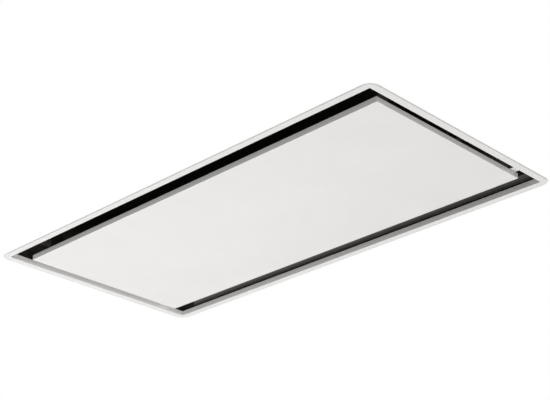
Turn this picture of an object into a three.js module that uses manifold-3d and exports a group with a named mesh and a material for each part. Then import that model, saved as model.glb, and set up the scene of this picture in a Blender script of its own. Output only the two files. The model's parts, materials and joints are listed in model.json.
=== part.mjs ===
// A ceiling range hood, seen from below in the room: a thin white flange lies against the
// ceiling, a white panel closes the opening, and air is drawn in through the gap all round it.
// Above the ceiling the sheet steel casing holds the grease filters, the fan and the outlet.
//
// Millimetres. X runs along the hood, Y across it, Z up. The origin is the middle of the
// underside, level with the visible faces of the flange and of the panel.

import * as THREE from "three";
import { mergeVertices } from "three/addons/utils/BufferGeometryUtils.js";
import Module from "manifold-3d";

const wasm = await Module();
wasm.setup();

// ---------------------------------------------------------------- driving dimensions

const FIT = 0.3; // left between two pieces that touch
const WELD = 0.1; // overlap of two shapes that are joined into one piece

// Flange and opening
const flangeLength = 1000;
const flangeDepth = 500;
const flangeCornerRadius = 20;
const flangeWidthAtEnds = 14.7;
const flangeWidthAtSides = 14.1;
const frameSheet = 1.2;
const lipHeight = 10.5;

// Panel
const endGap = 19.9;
const sideGap = 40.8;
const panelSheet = 1.2;
const panelEdgeHeight = 10.6;
const stiffenerSpacing = 400;
const stiffenerWidth = 40;
const stiffenerHeight = 7;
const stiffenerFoot = 12;
const stiffenerSheet = 1;

// Panel hinge, near the back long side, with its axis along X
const hingePinRadius = 3.2;
const hingePinInset = 10.8; // from the panel's back edge to the axis
const hingePlateLength = 15; // flat part of the tab, before it curls round the pin
const hingePlateGap = 1; // between the tab and the panel's end
const hingeCurlSweep = 270;
const hingeBoreClearance = 0.3;
const hingeEarSheet = 2;
const hingeEarInset = 4.4; // from the panel's end to the ear
const hingeEarWidth = 17;
const hingeFootLength = 34;
const hingePinHeadRadius = 5;
const hingePinHeadLength = 2;
const hingePinTail = 2; // shows past the ear, before the head

// Magnetic catches above the free edge of the panel
const catchEndInset = 35.4; // from the panel's end to the middle of the catch
const catchInset = 40; // from the panel's front edge to the middle of the catch
const magnetLength = 30;
const magnetDepth = 26;
const magnetHeight = 10;
const strikeHeight = 10;
const strikeSheet = 1.5;
const strikeFoot = 8;
const catchBracketSheet = 1.5;

// Seal and liner above the lip
const sealHeight = 3.2;
const sealThickness = 2.4;
const sealSetback = 0.7;
const linerHeight = 14;
const linerSheet = 1;
const linerSetback = 0.5;

// Casing
const casingSheet = 1;
const casingClearance = 2.4; // from the outside of the lip to the inside of the casing
const casingHem = 15;
const cornerAngleLeg = 60;

// Filter deck and the three grease filters
const deckHeight = 70;
const deckSheet = 1.2;
const deckSkirt = 12;
const deckEndBorder = 24.4; // from the casing's end to the first aperture
const filterCount = 3;
const filterDepth = 205;
const filterThickness = 9;
const filterRim = 10;
const filterLedge = 4;
const filterLedgeSheet = 1;
const filterClearance = 1.5;
const filterBar = 16; // of the deck, between two filters
const filterTongueReach = 10;
const filterTongueWidth = 24;
const filterTongueSheet = 1.5;
const filterTongueSpacing = 180;
const filterPullWidth = 40;
const filterPullDepth = 9;
const filterPullDrop = 3;
const filterMagnetLength = 44;
const filterMagnetDepth = 24;
const filterMagnetHeight = 8;
const filterMagnetReach = 7; // over the rim of the filter

// Fan: a wheel on a horizontal shaft in a spiral housing
const fanFloorGap = 1.3; // from the filters' tongues to the lowest point of the housing
const throatNeck = 26.25; // from the top of the spiral to the top of the housing
const wheelRadius = 75;
const wheelWidth = 90;
const wheelDiscSheet = 1.5;
const wheelRingWidth = 11;
const bladeCount = 30;
const bladeSheet = 1;
const bladeChord = 13;
const bladeAngle = 32;
const hubRadius = 12;
const hubLength = 12;
const scrollWidth = 120;
const scrollSheet = 1.2;
const scrollMinRadius = 84;
const scrollMaxRadius = 112;
const scrollMargin = 6; // of the cheeks, outside the wrap
const tongueAngle = 55;
const scrollStepAngle = 12.7;
const inletNeckRadius = 56;
const inletMouthRadius = 70;
const inletSheet = 1.2;
const inletDepth = 9;
const inletBend = 5;
const shaftRadius = 4;
const shaftPastHub = 8;
const shaftInMotor = 40;
const motorRadius = 46;
const motorLength = 58;
const motorBossRadius = 20;
const motorBossGap = 5; // from the boss to the wheel
const motorBossHoleClearance = 3;
const bushLength = 7;
const bushRadius = 7;
const bushCircleRadius = 34;
const bushCount = 3;

// Outlet collar with its two non-return flaps
const collarRadius = 74.5; // outside, for a duct of 150 mm
const collarSheet = 1;
const collarHeight = 60;
const collarFlangeWidth = 20;
const collarSeatWidth = 4.5;
const collarSeatHeight = 3;
const collarSeatSheet = 1.5;
const flapPinRadius = 2;
const flapPinLift = 3.5; // from the seat to the axis
const flapClearance = 1.5;
const flapSheet = 1;
const flapKnucklePitch = 30;
const flapKnuckleGap = 0.5; // between neighbouring knuckles
const flapKnuckleWall = 1.1;
const flapKnuckleBoreClearance = 0.3;
const flapSplit = 4; // from the axis to the straight edge of a flap
const flapWebReach = 2; // of a knuckle's web, past that edge

// Electric box under the top of the casing
const electricBoxLength = 220;
const electricBoxDepth = 110;
const electricBoxHeight = 55;
const electricBoxSheet = 1.2;
const electricBoxEndGap = 88.9; // from the casing's end
const electricBoxGap = 2; // from the folded edge of the front wall
const boardSheet = 1.6;
const boardMargin = 14;
const boardStandoff = 9;
const boardFootRadius = 3;
const boardFootInset = 8;
const transformerSize = 34;
const transformerHeight = 28;
const relaySize = 18;
const terminalLength = 60;
const terminalDepth = 16;
const terminalHeight = 14;
const capacitorRadius = 13;
const capacitorLength = 62;
const glandThreadRadius = 8;
const glandFlangeRadius = 12;
const glandFlangeHeight = 5;
const glandDomeHeight = 12;
const glandBoreRadius = 4;
const glandThreadLength = 7;
const glandNeckInset = 2; // of the dome's foot, inside the flange
const glandDomeTaper = 1;
const glandShoulderHeight = 7;
const glandLip = 2;

// Suspension brackets on top of the casing
const bracketSheet = 2;
const bracketWidth = 40;
const bracketFoot = 34;
const bracketHeight = 27;
const bracketSlotRadius = 4.5;
const bracketSlotLength = 12;
const bracketEndInset = 70; // from the end of the casing to the middle of the bracket
const bracketSideInset = 45; // from the long side of the casing to the upright

// Sides of the polygons that stand for circles
const sidesOfHole = 48;
const sidesOfPin = 24;
const sidesOfKnuckle = 20;
const sidesOfWheel = 60;
const sidesOfMotor = 40;
const sidesOfCapacitor = 28;
const sidesOfFoot = 12;
const hingeCurlSides = 15;

// ---------------------------------------------------------------- sizes that follow

const openingLength = flangeLength - 2 * flangeWidthAtEnds;
const openingDepth = flangeDepth - 2 * flangeWidthAtSides;
const lipOuterLength = openingLength + 2 * frameSheet;
const lipOuterDepth = openingDepth + 2 * frameSheet;
const panelLength = openingLength - 2 * endGap;
const panelDepth = openingDepth - 2 * sideGap;
const casingInnerLength = lipOuterLength + 2 * casingClearance;
const casingInnerDepth = lipOuterDepth + 2 * casingClearance;
const casingLength = casingInnerLength + 2 * casingSheet;
const casingDepth = casingInnerDepth + 2 * casingSheet;
const casingFloor = frameSheet + FIT;
const sealBottom = lipHeight + FIT;
const linerBottom = sealBottom + sealHeight + FIT;
const linerTop = linerBottom + linerHeight;
const panelFloor = panelSheet + FIT;
const deckTop = deckHeight + deckSheet;
const filterPitch = (casingInnerLength - 2 * deckEndBorder + filterBar) / filterCount;
const apertureWidth = filterPitch - filterBar;
const apertureDepth = filterDepth + 2 * filterClearance;
const filterWidth = apertureWidth - 2 * filterClearance;

// The casing is as high as what it holds: deck, filters, fan housing and its neck.
const fanAxisHeight = deckTop + FIT + filterTongueSheet + fanFloorGap + scrollMargin + scrollRadius(270);
const wallTop = fanAxisHeight + scrollRadius(90) + scrollSheet + throatNeck;
const ceilingOfChamber = wallTop + FIT;
const casingHeight = ceilingOfChamber + casingSheet;

// The radius of the housing's spiral, which grows from the tongue round to 360 degrees.
function scrollRadius(degrees) {
  const share = Math.max(0, (degrees - tongueAngle) / (360 - tongueAngle));
  return scrollMinRadius + (scrollMaxRadius - scrollMinRadius) * share;
}

// ---------------------------------------------------------------- solid helpers

function solid(geometry) {
  const bare = geometry.clone();
  bare.deleteAttribute("normal");
  bare.deleteAttribute("uv");
  const merged = mergeVertices(bare, 1e-4);
  return new wasm.Manifold(
    new wasm.Mesh({
      numProp: 3,
      vertProperties: new Float32Array(merged.attributes.position.array),
      triVerts: new Uint32Array(merged.index.array),
    }),
  );
}

function joined(...geometries) {
  return geometries.map(solid).reduce((sum, next) => sum.add(next));
}

function cut(base, ...geometries) {
  return geometries.map(solid).reduce((left, tool) => left.subtract(tool), base);
}

function geometryOf(body) {
  const mesh = body.getMesh();
  const geometry = new THREE.BufferGeometry();
  geometry.setAttribute("position", new THREE.BufferAttribute(mesh.vertProperties, 3));
  geometry.setIndex(new THREE.BufferAttribute(mesh.triVerts, 1));
  const faceted = geometry.toNonIndexed();
  faceted.computeVertexNormals();
  return faceted;
}

function block(xMin, xMax, yMin, yMax, zMin, zMax) {
  const box = new THREE.BoxGeometry(xMax - xMin, yMax - yMin, zMax - zMin);
  return box.translate((xMin + xMax) / 2, (yMin + yMax) / 2, (zMin + zMax) / 2);
}

function centredBlock(length, depth, zMin, zMax) {
  return block(-length / 2, length / 2, -depth / 2, depth / 2, zMin, zMax);
}

function inOrder(a, b) {
  return [Math.min(a, b), Math.max(a, b)];
}

// A round bar from one point to another of the X axis.
function barAlongX(radius, xMin, xMax, segments = 32) {
  const bar = new THREE.CylinderGeometry(radius, radius, xMax - xMin, segments);
  return bar.rotateZ(Math.PI / 2).translate((xMin + xMax) / 2, 0, 0);
}

function barAlongZ(radius, zMin, zMax, segments = 32) {
  const bar = new THREE.CylinderGeometry(radius, radius, zMax - zMin, segments);
  return bar.rotateX(Math.PI / 2).translate(0, 0, (zMin + zMax) / 2);
}

// An outline of [y, z] points, drawn out along X.
function alongX(points, xMin, xMax) {
  const shape = new THREE.Shape(points.map(([y, z]) => new THREE.Vector2(y, z)));
  const depth = xMax - xMin;
  const geometry = new THREE.ExtrudeGeometry(shape, { depth, bevelEnabled: false });
  const turn = new THREE.Matrix4().makeBasis(
    new THREE.Vector3(0, 1, 0),
    new THREE.Vector3(0, 0, 1),
    new THREE.Vector3(1, 0, 0),
  );
  return geometry.applyMatrix4(turn).translate(xMin, 0, 0);
}

// An outline of [x, z] points, drawn out along Y.
function alongY(points, yMin, yMax) {
  const shape = new THREE.Shape(points.map(([x, z]) => new THREE.Vector2(x, z)));
  const depth = yMax - yMin;
  const geometry = new THREE.ExtrudeGeometry(shape, { depth, bevelEnabled: false });
  const turn = new THREE.Matrix4().makeBasis(
    new THREE.Vector3(1, 0, 0),
    new THREE.Vector3(0, 0, 1),
    new THREE.Vector3(0, -1, 0),
  );
  return geometry.applyMatrix4(turn).translate(0, yMax, 0);
}

function alongZ(shape, zMin, zMax) {
  const depth = zMax - zMin;
  const options = { depth, bevelEnabled: false, curveSegments: 10 };
  return new THREE.ExtrudeGeometry(shape, options).translate(0, 0, zMin);
}

// A closed outline of [radius, height] points, turned about the Z axis.
function turned(points, segments = sidesOfHole) {
  const outline = [...points, points[0]].map(([r, z]) => new THREE.Vector2(r, z));
  return new THREE.LatheGeometry(outline, segments).rotateX(Math.PI / 2);
}

function roundedRectangle(length, depth, radius) {
  const x = length / 2 - radius;
  const y = depth / 2 - radius;
  const shape = new THREE.Shape();
  shape.absarc(x, y, radius, 0, Math.PI / 2);
  shape.absarc(-x, y, radius, Math.PI / 2, Math.PI);
  shape.absarc(-x, -y, radius, Math.PI, 1.5 * Math.PI);
  shape.absarc(x, -y, radius, 1.5 * Math.PI, 2 * Math.PI);
  return shape;
}

// A rectangular ring of sheet: its inner size, its wall and its two heights.
function ring(innerLength, innerDepth, wall, zMin, zMax) {
  const outer = centredBlock(innerLength + 2 * wall, innerDepth + 2 * wall, zMin, zMax);
  return cut(solid(outer), centredBlock(innerLength, innerDepth, zMin - 1, zMax + 1));
}

// ---------------------------------------------------------------- finishes

const FINISHES = {
  whitePowderCoat: { color: 0xebebea, roughness: 0.45, metalness: 0 },
  blackPaint: { color: 0x1c1c1b, roughness: 0.4, metalness: 0 },
  blackPlastic: { color: 0x202020, roughness: 0.55, metalness: 0 },
  foam: { color: 0x0e0e0e, roughness: 0.95, metalness: 0 },
  rubber: { color: 0x1a1a1a, roughness: 0.8, metalness: 0 },
  galvanised: { color: 0xa9adb0, roughness: 0.4, metalness: 1 },
  zincPlated: { color: 0xb9bbb8, roughness: 0.3, metalness: 1 },
  aluminium: { color: 0xb4b6b8, roughness: 0.4, metalness: 1 },
  steel: { color: 0x9a9c9e, roughness: 0.3, metalness: 1 },
  greyPlastic: { color: 0x8a8d90, roughness: 0.5, metalness: 0 },
  circuitBoard: { color: 0x1f5a34, roughness: 0.5, metalness: 0 },
  ferrite: { color: 0x3a3a3c, roughness: 0.5, metalness: 0.3 },
};

const hood = new THREE.Group();

function place(name, body, finish, parent = hood) {
  const material = new THREE.MeshStandardMaterial(FINISHES[finish]);
  const mesh = new THREE.Mesh(geometryOf(body), material);
  mesh.name = name;
  parent.add(mesh);
  return mesh;
}

function groupAt(x, y, z, parent = hood) {
  const group = new THREE.Group();
  group.position.set(x, y, z);
  parent.add(group);
  return group;
}

const ENDS = [
  ["left", -1],
  ["right", 1],
];

// ---------------------------------------------------------------- hinge sizes

const hingeAxisY = panelDepth / 2 - hingePinInset;
const hingeCurlInner = hingePinRadius + FIT;
const hingeAxisZ = lipHeight + hingeCurlInner;
const hingeCurlOuter = hingeCurlInner + frameSheet;
const hingeTabInnerX = panelLength / 2 + hingePlateGap;
const hingeEarX = panelLength / 2 - hingeEarInset - hingeEarSheet;

// ---------------------------------------------------------------- trim frame

// The tab's outline in Y and Z: a flat plate level with the top of the lip, whose back end
// curls up round the pin.
function hingeTabOutline() {
  const points = [
    [hingeAxisY - hingePlateLength, lipHeight],
    [hingeAxisY - hingePlateLength, lipHeight - frameSheet],
  ];
  const steps = hingeCurlSides;
  const angleAt = (i) => THREE.MathUtils.degToRad(-90 + (hingeCurlSweep * i) / steps);
  for (let i = 0; i <= steps; i++) {
    const a = angleAt(i);
    const y = hingeAxisY + hingeCurlOuter * Math.cos(a);
    points.push([y, hingeAxisZ + hingeCurlOuter * Math.sin(a)]);
  }
  for (let i = steps; i >= 0; i--) {
    const a = angleAt(i);
    const y = hingeAxisY + hingeCurlInner * Math.cos(a);
    points.push([y, hingeAxisZ + hingeCurlInner * Math.sin(a)]);
  }
  return points;
}

function trimFrame() {
  const flange = alongZ(
    roundedRectangle(flangeLength, flangeDepth, flangeCornerRadius),
    0,
    frameSheet,
  );
  const opening = centredBlock(openingLength, openingDepth, -1, lipHeight + 1);
  const lip = centredBlock(lipOuterLength, lipOuterDepth, 0, lipHeight);
  let frame = cut(joined(flange, lip), opening);
  for (const [, side] of ENDS) {
    const xs = inOrder(side * hingeTabInnerX, side * (openingLength / 2 + WELD));
    frame = frame.add(solid(alongX(hingeTabOutline(), ...xs)));
  }
  return frame;
}

place("trim_frame", trimFrame(), "whitePowderCoat");

// Angles in the four corners join the lip to the inside of the casing.
for (const [end, sideX] of ENDS) {
  for (const [side, sideY] of [["front", -1], ["back", 1]]) {
    const gap = casingClearance - 2 * FIT;
    const corner = groupAt((sideX * casingInnerLength) / 2, (sideY * casingInnerDepth) / 2, 0);
    const inX = [-sideX * FIT, -sideX * (FIT + gap), -sideX * cornerAngleLeg];
    const inY = [-sideY * FIT, -sideY * (FIT + gap), -sideY * cornerAngleLeg];
    const zs = [casingFloor, lipHeight];
    const legX = block(...inOrder(inX[0], inX[2]), ...inOrder(inY[0], inY[1]), ...zs);
    const legY = block(...inOrder(inX[0], inX[1]), ...inOrder(inY[0], inY[2]), ...zs);
    place("corner_angle_" + side + "_" + end, joined(legX, legY), "zincPlated", corner);
  }
}

// ---------------------------------------------------------------- seal and liner

function frameSeal() {
  return ring(
    openingLength + 2 * sealSetback,
    openingDepth + 2 * sealSetback,
    sealThickness,
    sealBottom,
    sealBottom + sealHeight,
  );
}

// A black band above the seal, whose top edge turns out to the casing.
function intakeLiner() {
  const innerLength = openingLength + 2 * linerSetback;
  const innerDepth = openingDepth + 2 * linerSetback;
  const band = ring(innerLength, innerDepth, linerSheet, linerBottom, linerTop);
  const shelfWall = (casingInnerLength - innerLength) / 2 - FIT;
  const shelf = ring(innerLength, innerDepth, shelfWall, linerTop - linerSheet, linerTop);
  return band.add(shelf);
}

place("frame_seal", frameSeal(), "foam");
place("intake_liner", intakeLiner(), "blackPaint");

// ---------------------------------------------------------------- casing

// A long wall with its top edge folded in under the top sheet.
function longWall(side) {
  const inner = (side * casingInnerDepth) / 2;
  const outer = (side * casingDepth) / 2;
  const hem = inner - side * casingHem;
  const outline = [
    [outer, casingFloor],
    [outer, wallTop],
    [hem, wallTop],
    [hem, wallTop - casingSheet],
    [inner, wallTop - casingSheet],
    [inner, casingFloor],
  ];
  return solid(alongX(outline, -casingLength / 2, casingLength / 2));
}

// An end wall stands between the long walls. Its corners pass under their folded edges, and
// its own folded edge stops short of theirs.
function endWall(side) {
  const inner = (side * casingInnerLength) / 2;
  const outer = (side * casingLength) / 2;
  const hem = inner - side * casingHem;
  const halfDepth = casingInnerDepth / 2 - FIT;
  const hemHalfDepth = halfDepth - casingHem;
  const cornerTop = wallTop - casingSheet - FIT;
  return joined(
    block(...inOrder(inner, outer), -halfDepth, halfDepth, casingFloor, cornerTop),
    block(...inOrder(inner, outer), -hemHalfDepth, hemHalfDepth, casingFloor, wallTop),
    block(...inOrder(hem, outer), -hemHalfDepth, hemHalfDepth, wallTop - casingSheet, wallTop),
  );
}

const electricBoxFront = -casingInnerDepth / 2 + casingHem + electricBoxGap;
const electricBoxY = electricBoxFront + electricBoxDepth / 2;
const electricBoxX = casingInnerLength / 2 - electricBoxEndGap - electricBoxLength / 2;
const glandX = electricBoxX + electricBoxLength / 2 - 2 * glandFlangeRadius;
const collarSeatInner = collarRadius - collarSheet - collarSeatWidth;

function casingTop() {
  return cut(
    solid(centredBlock(casingLength, casingDepth, ceilingOfChamber, casingHeight)),
    barAlongZ(collarSeatInner, ceilingOfChamber - 1, casingHeight + 1, sidesOfHole),
    barAlongZ(glandThreadRadius + FIT, ceilingOfChamber - 1, casingHeight + 1)
      .translate(glandX, electricBoxY, 0),
  );
}

place("casing_wall_front", longWall(-1), "galvanised");
place("casing_wall_back", longWall(1), "galvanised");
place("casing_wall_left", endWall(-1), "galvanised");
place("casing_wall_right", endWall(1), "galvanised");
place("casing_top", casingTop(), "galvanised");

// ---------------------------------------------------------------- filter deck and filters

function filterDeck() {
  const length = casingInnerLength - 2 * FIT;
  const depth = casingInnerDepth - 2 * FIT;
  const skirt = ring(
    length - 2 * deckSheet,
    depth - 2 * deckSheet,
    deckSheet,
    deckHeight - deckSkirt,
    deckTop,
  );
  let deck = solid(centredBlock(length, depth, deckHeight, deckTop)).add(skirt);
  for (let i = 0; i < filterCount; i++) {
    const aperture = centredBlock(apertureWidth, apertureDepth, deckHeight - 1, deckTop + 1);
    deck = cut(deck, aperture.translate(filterX(i), 0, 0));
  }
  return deck;
}

function filterX(index) {
  return (index - (filterCount - 1) / 2) * filterPitch;
}

// The frame of one filter: a rim with a ledge under the mesh, two tongues that lie on the
// deck at the back, and a finger pull at the front. Its origin is level with the deck's top.
function filterFrame() {
  const bottom = -filterThickness;
  const rim = centredBlock(filterWidth, filterDepth, bottom, 0);
  const pocketLength = filterWidth - 2 * filterRim;
  const pocketDepth = filterDepth - 2 * filterRim;
  const pocket = centredBlock(pocketLength, pocketDepth, bottom + filterLedgeSheet, 1);
  const window = centredBlock(
    pocketLength - 2 * filterLedge,
    pocketDepth - 2 * filterLedge,
    bottom - 1,
    1,
  );
  const back = filterDepth / 2;
  const tongues = [-1, 1].flatMap((side) => {
    const middle = (side * filterTongueSpacing) / 2;
    const xs = [middle - filterTongueWidth / 2, middle + filterTongueWidth / 2];
    const root = block(...xs, back - filterRim, back, -1, FIT + filterTongueSheet);
    const reach = block(
      ...xs,
      back - filterRim,
      back + filterTongueReach,
      FIT,
      FIT + filterTongueSheet,
    );
    return [root, reach];
  });
  const pull = block(
    -filterPullWidth / 2,
    filterPullWidth / 2,
    -back,
    -back + filterPullDepth,
    bottom - filterPullDrop,
    bottom + 1,
  );
  return cut(solid(rim), pocket, window).add(joined(...tongues, pull));
}

function filterMesh() {
  return solid(
    centredBlock(
      filterWidth - 2 * (filterRim + FIT),
      filterDepth - 2 * (filterRim + FIT),
      -filterThickness + filterLedgeSheet + FIT,
      -filterLedgeSheet,
    ),
  );
}

function filterMagnet() {
  const front = -filterDepth / 2 + filterMagnetReach;
  return solid(
    block(
      -filterMagnetLength / 2,
      filterMagnetLength / 2,
      front - filterMagnetDepth,
      front,
      FIT,
      FIT + filterMagnetHeight,
    ),
  );
}

place("filter_deck", filterDeck(), "blackPaint");
for (let i = 0; i < filterCount; i++) {
  const filter = groupAt(filterX(i), 0, deckTop);
  place("filter_frame_" + (i + 1), filterFrame(), "aluminium", filter);
  place("filter_mesh_" + (i + 1), filterMesh(), "aluminium", filter);
  place("filter_magnet_" + (i + 1), filterMagnet(), "blackPlastic", filter);
}

// ---------------------------------------------------------------- panel

// The panel is one sheet with all four edges folded up.
function panelTray() {
  const outside = centredBlock(panelLength, panelDepth, 0, panelEdgeHeight);
  const hollow = centredBlock(
    panelLength - 2 * panelSheet,
    panelDepth - 2 * panelSheet,
    panelSheet,
    panelEdgeHeight + 1,
  );
  return cut(solid(outside), hollow);
}

// A folded rib across the back of the panel, as wide at its feet as it is written.
function panelStiffener() {
  const half = stiffenerWidth / 2;
  const web = half - stiffenerFoot;
  const low = panelFloor;
  const high = panelFloor + stiffenerHeight;
  const sheet = stiffenerSheet;
  const outline = [
    [-half, low],
    [-web + sheet, low],
    [-web + sheet, high - sheet],
    [web - sheet, high - sheet],
    [web - sheet, low],
    [half, low],
    [half, low + sheet],
    [web, low + sheet],
    [web, high],
    [-web, high],
    [-web, low + sheet],
    [-half, low + sheet],
  ];
  const halfDepth = panelDepth / 2 - panelSheet - FIT;
  return solid(alongY(outline, -halfDepth, halfDepth));
}

// An angle on the back of the panel, whose ear turns on the hinge pin.
function hingeBracket(side) {
  const outer = side * (hingeEarX + hingeEarSheet);
  const footXs = inOrder(side * (hingeEarX - hingeFootLength), outer);
  const earXs = inOrder(side * hingeEarX, outer);
  const ys = [hingeAxisY - hingeEarWidth / 2, hingeAxisY + hingeEarWidth / 2];
  const foot = block(...footXs, ...ys, panelFloor, panelFloor + hingeEarSheet);
  const earTop = hingeAxisZ + hingeCurlOuter + hingeEarSheet;
  const ear = block(...earXs, ...ys, panelFloor, earTop);
  const bore = barAlongX(hingePinRadius + hingeBoreClearance, earXs[0] - 1, earXs[1] + 1);
  return cut(joined(foot, ear), bore.translate(0, hingeAxisY, hingeAxisZ));
}

// The pin, from its head inside the panel to the lip of the frame; its origin is on its axis.
function hingePin(side) {
  const headStart = hingeEarX - hingePinTail - hingePinHeadLength;
  const xs = inOrder(side * headStart, side * (openingLength / 2 - FIT));
  const headXs = inOrder(side * headStart, side * (headStart + hingePinHeadLength));
  const shank = barAlongX(hingePinRadius, ...xs, sidesOfPin);
  return joined(shank, barAlongX(hingePinHeadRadius, ...headXs, sidesOfPin));
}

// A folded steel strike that carries the magnet's face above the panel's folded edge.
function strikePlate() {
  const half = magnetDepth / 2;
  const low = panelFloor;
  const high = panelFloor + strikeHeight;
  const foot = half + strikeFoot;
  const outline = [
    [-foot, low],
    [-half + strikeSheet, low],
    [-half + strikeSheet, high - strikeSheet],
    [half - strikeSheet, high - strikeSheet],
    [half - strikeSheet, low],
    [foot, low],
    [foot, low + strikeSheet],
    [half, low + strikeSheet],
    [half, high],
    [-half, high],
    [-half, low + strikeSheet],
    [-foot, low + strikeSheet],
  ];
  return solid(alongX(outline, -magnetLength / 2, magnetLength / 2));
}

const magnetBottom = panelFloor + strikeHeight + FIT;
const magnetTop = magnetBottom + magnetHeight;

function catchMagnet() {
  return solid(centredBlock(magnetLength, magnetDepth, magnetBottom, magnetTop));
}

// A folded strip that hangs from the deck and carries the magnet on its lower foot.
function catchBracket(side) {
  const half = magnetLength / 2;
  const sheet = catchBracketSheet;
  const low = magnetTop + FIT;
  const high = deckHeight - FIT;
  const outline = [
    [-side * half, low],
    [side * half, low],
    [side * half, high],
    [-side * half, high],
    [-side * half, high - sheet],
    [side * (half - sheet), high - sheet],
    [side * (half - sheet), low + sheet],
    [-side * half, low + sheet],
  ];
  return solid(alongY(outline, -magnetDepth / 2, magnetDepth / 2));
}

place("panel_tray", panelTray(), "whitePowderCoat");
for (const [end, side] of ENDS) {
  const stiffener = groupAt((side * stiffenerSpacing) / 2, 0, 0);
  place("panel_stiffener_" + end, panelStiffener(), "galvanised", stiffener);
  place("panel_hinge_bracket_" + end, hingeBracket(side), "zincPlated");
  const pin = groupAt(0, hingeAxisY, hingeAxisZ);
  place("hinge_pin_" + end, hingePin(side), "steel", pin);
  const catchX = side * (panelLength / 2 - catchEndInset);
  const latch = groupAt(catchX, -panelDepth / 2 + catchInset, 0);
  place("strike_plate_" + end, strikePlate(), "zincPlated", latch);
  place("catch_magnet_" + end, catchMagnet(), "blackPlastic", latch);
  place("catch_bracket_" + end, catchBracket(side), "blackPaint", latch);
}

// ---------------------------------------------------------------- fan housing

const tongueOffset = scrollMinRadius * Math.cos(THREE.MathUtils.degToRad(tongueAngle));
const throatDepth = scrollMaxRadius - tongueOffset;
const fanAxisY = -(tongueOffset + throatDepth / 2); // puts the throat under the outlet
const cheekInner = scrollWidth / 2 - scrollSheet;
const scrollTop = wallTop - fanAxisHeight;

// The spiral, [y, z] from the fan's axis: down the inner wall of the throat, round from the
// tongue with a growing radius, and up the outer wall.
function scrollPath(offset) {
  const start = Math.acos((tongueOffset - offset) / (scrollMinRadius + offset));
  const steps = Math.round((360 - tongueAngle) / scrollStepAngle);
  const points = [[tongueOffset - offset, scrollTop]];
  for (let i = 0; i <= steps; i++) {
    const angle = start + ((2 * Math.PI - start) * i) / steps;
    const radius = scrollRadius(THREE.MathUtils.radToDeg(angle)) + offset;
    points.push([radius * Math.cos(angle), radius * Math.sin(angle)]);
  }
  points.push([scrollMaxRadius + offset, scrollTop]);
  return points;
}

function scrollWrap() {
  const outline = [...scrollPath(0), ...scrollPath(scrollSheet).reverse()];
  return solid(alongX(outline, -cheekInner + FIT, cheekInner - FIT));
}

function scrollCheek(side, holeRadius) {
  const xs = inOrder(side * cheekInner, side * (cheekInner + scrollSheet));
  const plate = alongX(scrollPath(scrollMargin), ...xs);
  return cut(solid(plate), barAlongX(holeRadius, xs[0] - 1, xs[1] + 1, sidesOfHole));
}

// A rolled mouth that guides air through the inlet cheek into the wheel.
function inletRing() {
  const flange = scrollWidth / 2 + FIT;
  const neck = inletNeckRadius;
  const outline = [
    [neck, flange - inletDepth],
    [neck + inletSheet, flange - inletDepth],
    [neck + inletSheet, flange],
    [inletMouthRadius, flange],
    [inletMouthRadius, flange + inletSheet],
    [neck + inletBend, flange + inletSheet],
    [neck, flange],
  ];
  return solid(turned(outline).rotateY(-Math.PI / 2));
}

const fan = groupAt(0, fanAxisY, fanAxisHeight);
const inletHoleRadius = inletNeckRadius + inletSheet + FIT;
place("scroll_wrap", scrollWrap(), "galvanised", fan);
place("scroll_inlet_cheek", scrollCheek(-1, inletHoleRadius), "galvanised", fan);
place(
  "scroll_motor_cheek",
  scrollCheek(1, motorBossRadius + motorBossHoleClearance),
  "galvanised",
  fan,
);
place("inlet_ring", inletRing(), "galvanised", fan);

// ---------------------------------------------------------------- wheel and motor

// A drum wheel: a disc with its hub at the motor, curved-forward blades and an open ring.
function fanWheel() {
  const half = wheelWidth / 2;
  const ringEnd = -half + wheelDiscSheet;
  const ringInner = wheelRadius - wheelRingWidth;
  const disc = barAlongX(wheelRadius, half - wheelDiscSheet, half, sidesOfWheel);
  const hub = barAlongX(hubRadius, half - hubLength, half);
  const ringOuter = barAlongX(wheelRadius, -half, ringEnd, sidesOfWheel);
  const ringHole = barAlongX(ringInner, -half - 1, ringEnd + 1, sidesOfWheel);
  let wheel = joined(disc, hub).add(cut(solid(ringOuter), ringHole));
  const middle = wheelRadius - wheelRingWidth / 2;
  for (let i = 0; i < bladeCount; i++) {
    const blade = block(
      -half + wheelDiscSheet / 2,
      half - wheelDiscSheet / 2,
      -bladeChord / 2,
      bladeChord / 2,
      -bladeSheet / 2,
      bladeSheet / 2,
    );
    blade.rotateX(THREE.MathUtils.degToRad(bladeAngle));
    blade.translate(0, middle, 0).rotateX((2 * Math.PI * i) / bladeCount);
    wheel = wheel.add(solid(blade));
  }
  const rim = cut(
    solid(barAlongX(wheelRadius + bladeChord, -half - 1, half + 1, sidesOfWheel)),
    barAlongX(wheelRadius, -half - 2, half + 2, sidesOfWheel),
  );
  return cut(wheel.subtract(rim), barAlongX(shaftRadius + FIT, -half, half + 1, sidesOfPin));
}

const motorFace = scrollWidth / 2 + bushLength + 2 * FIT;

function motorShaft() {
  const start = wheelWidth / 2 - hubLength - shaftPastHub;
  return solid(barAlongX(shaftRadius, start, motorFace + shaftInMotor, sidesOfPin));
}

function motorBody() {
  const back = motorFace + motorLength;
  const boss = barAlongX(motorBossRadius, wheelWidth / 2 + motorBossGap, motorFace + 1);
  const can = barAlongX(motorRadius, motorFace, back, sidesOfMotor);
  const boreEnd = motorFace + shaftInMotor + FIT;
  const bore = barAlongX(shaftRadius + FIT, 0, boreEnd, sidesOfPin);
  return cut(joined(boss, can), bore);
}

function motorBush(index) {
  const angle = (2 * Math.PI * index) / bushCount + Math.PI / 2;
  const start = scrollWidth / 2 + FIT;
  const bush = barAlongX(bushRadius, start, start + bushLength, sidesOfKnuckle);
  const y = bushCircleRadius * Math.cos(angle);
  return solid(bush.translate(0, y, bushCircleRadius * Math.sin(angle)));
}

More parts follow.
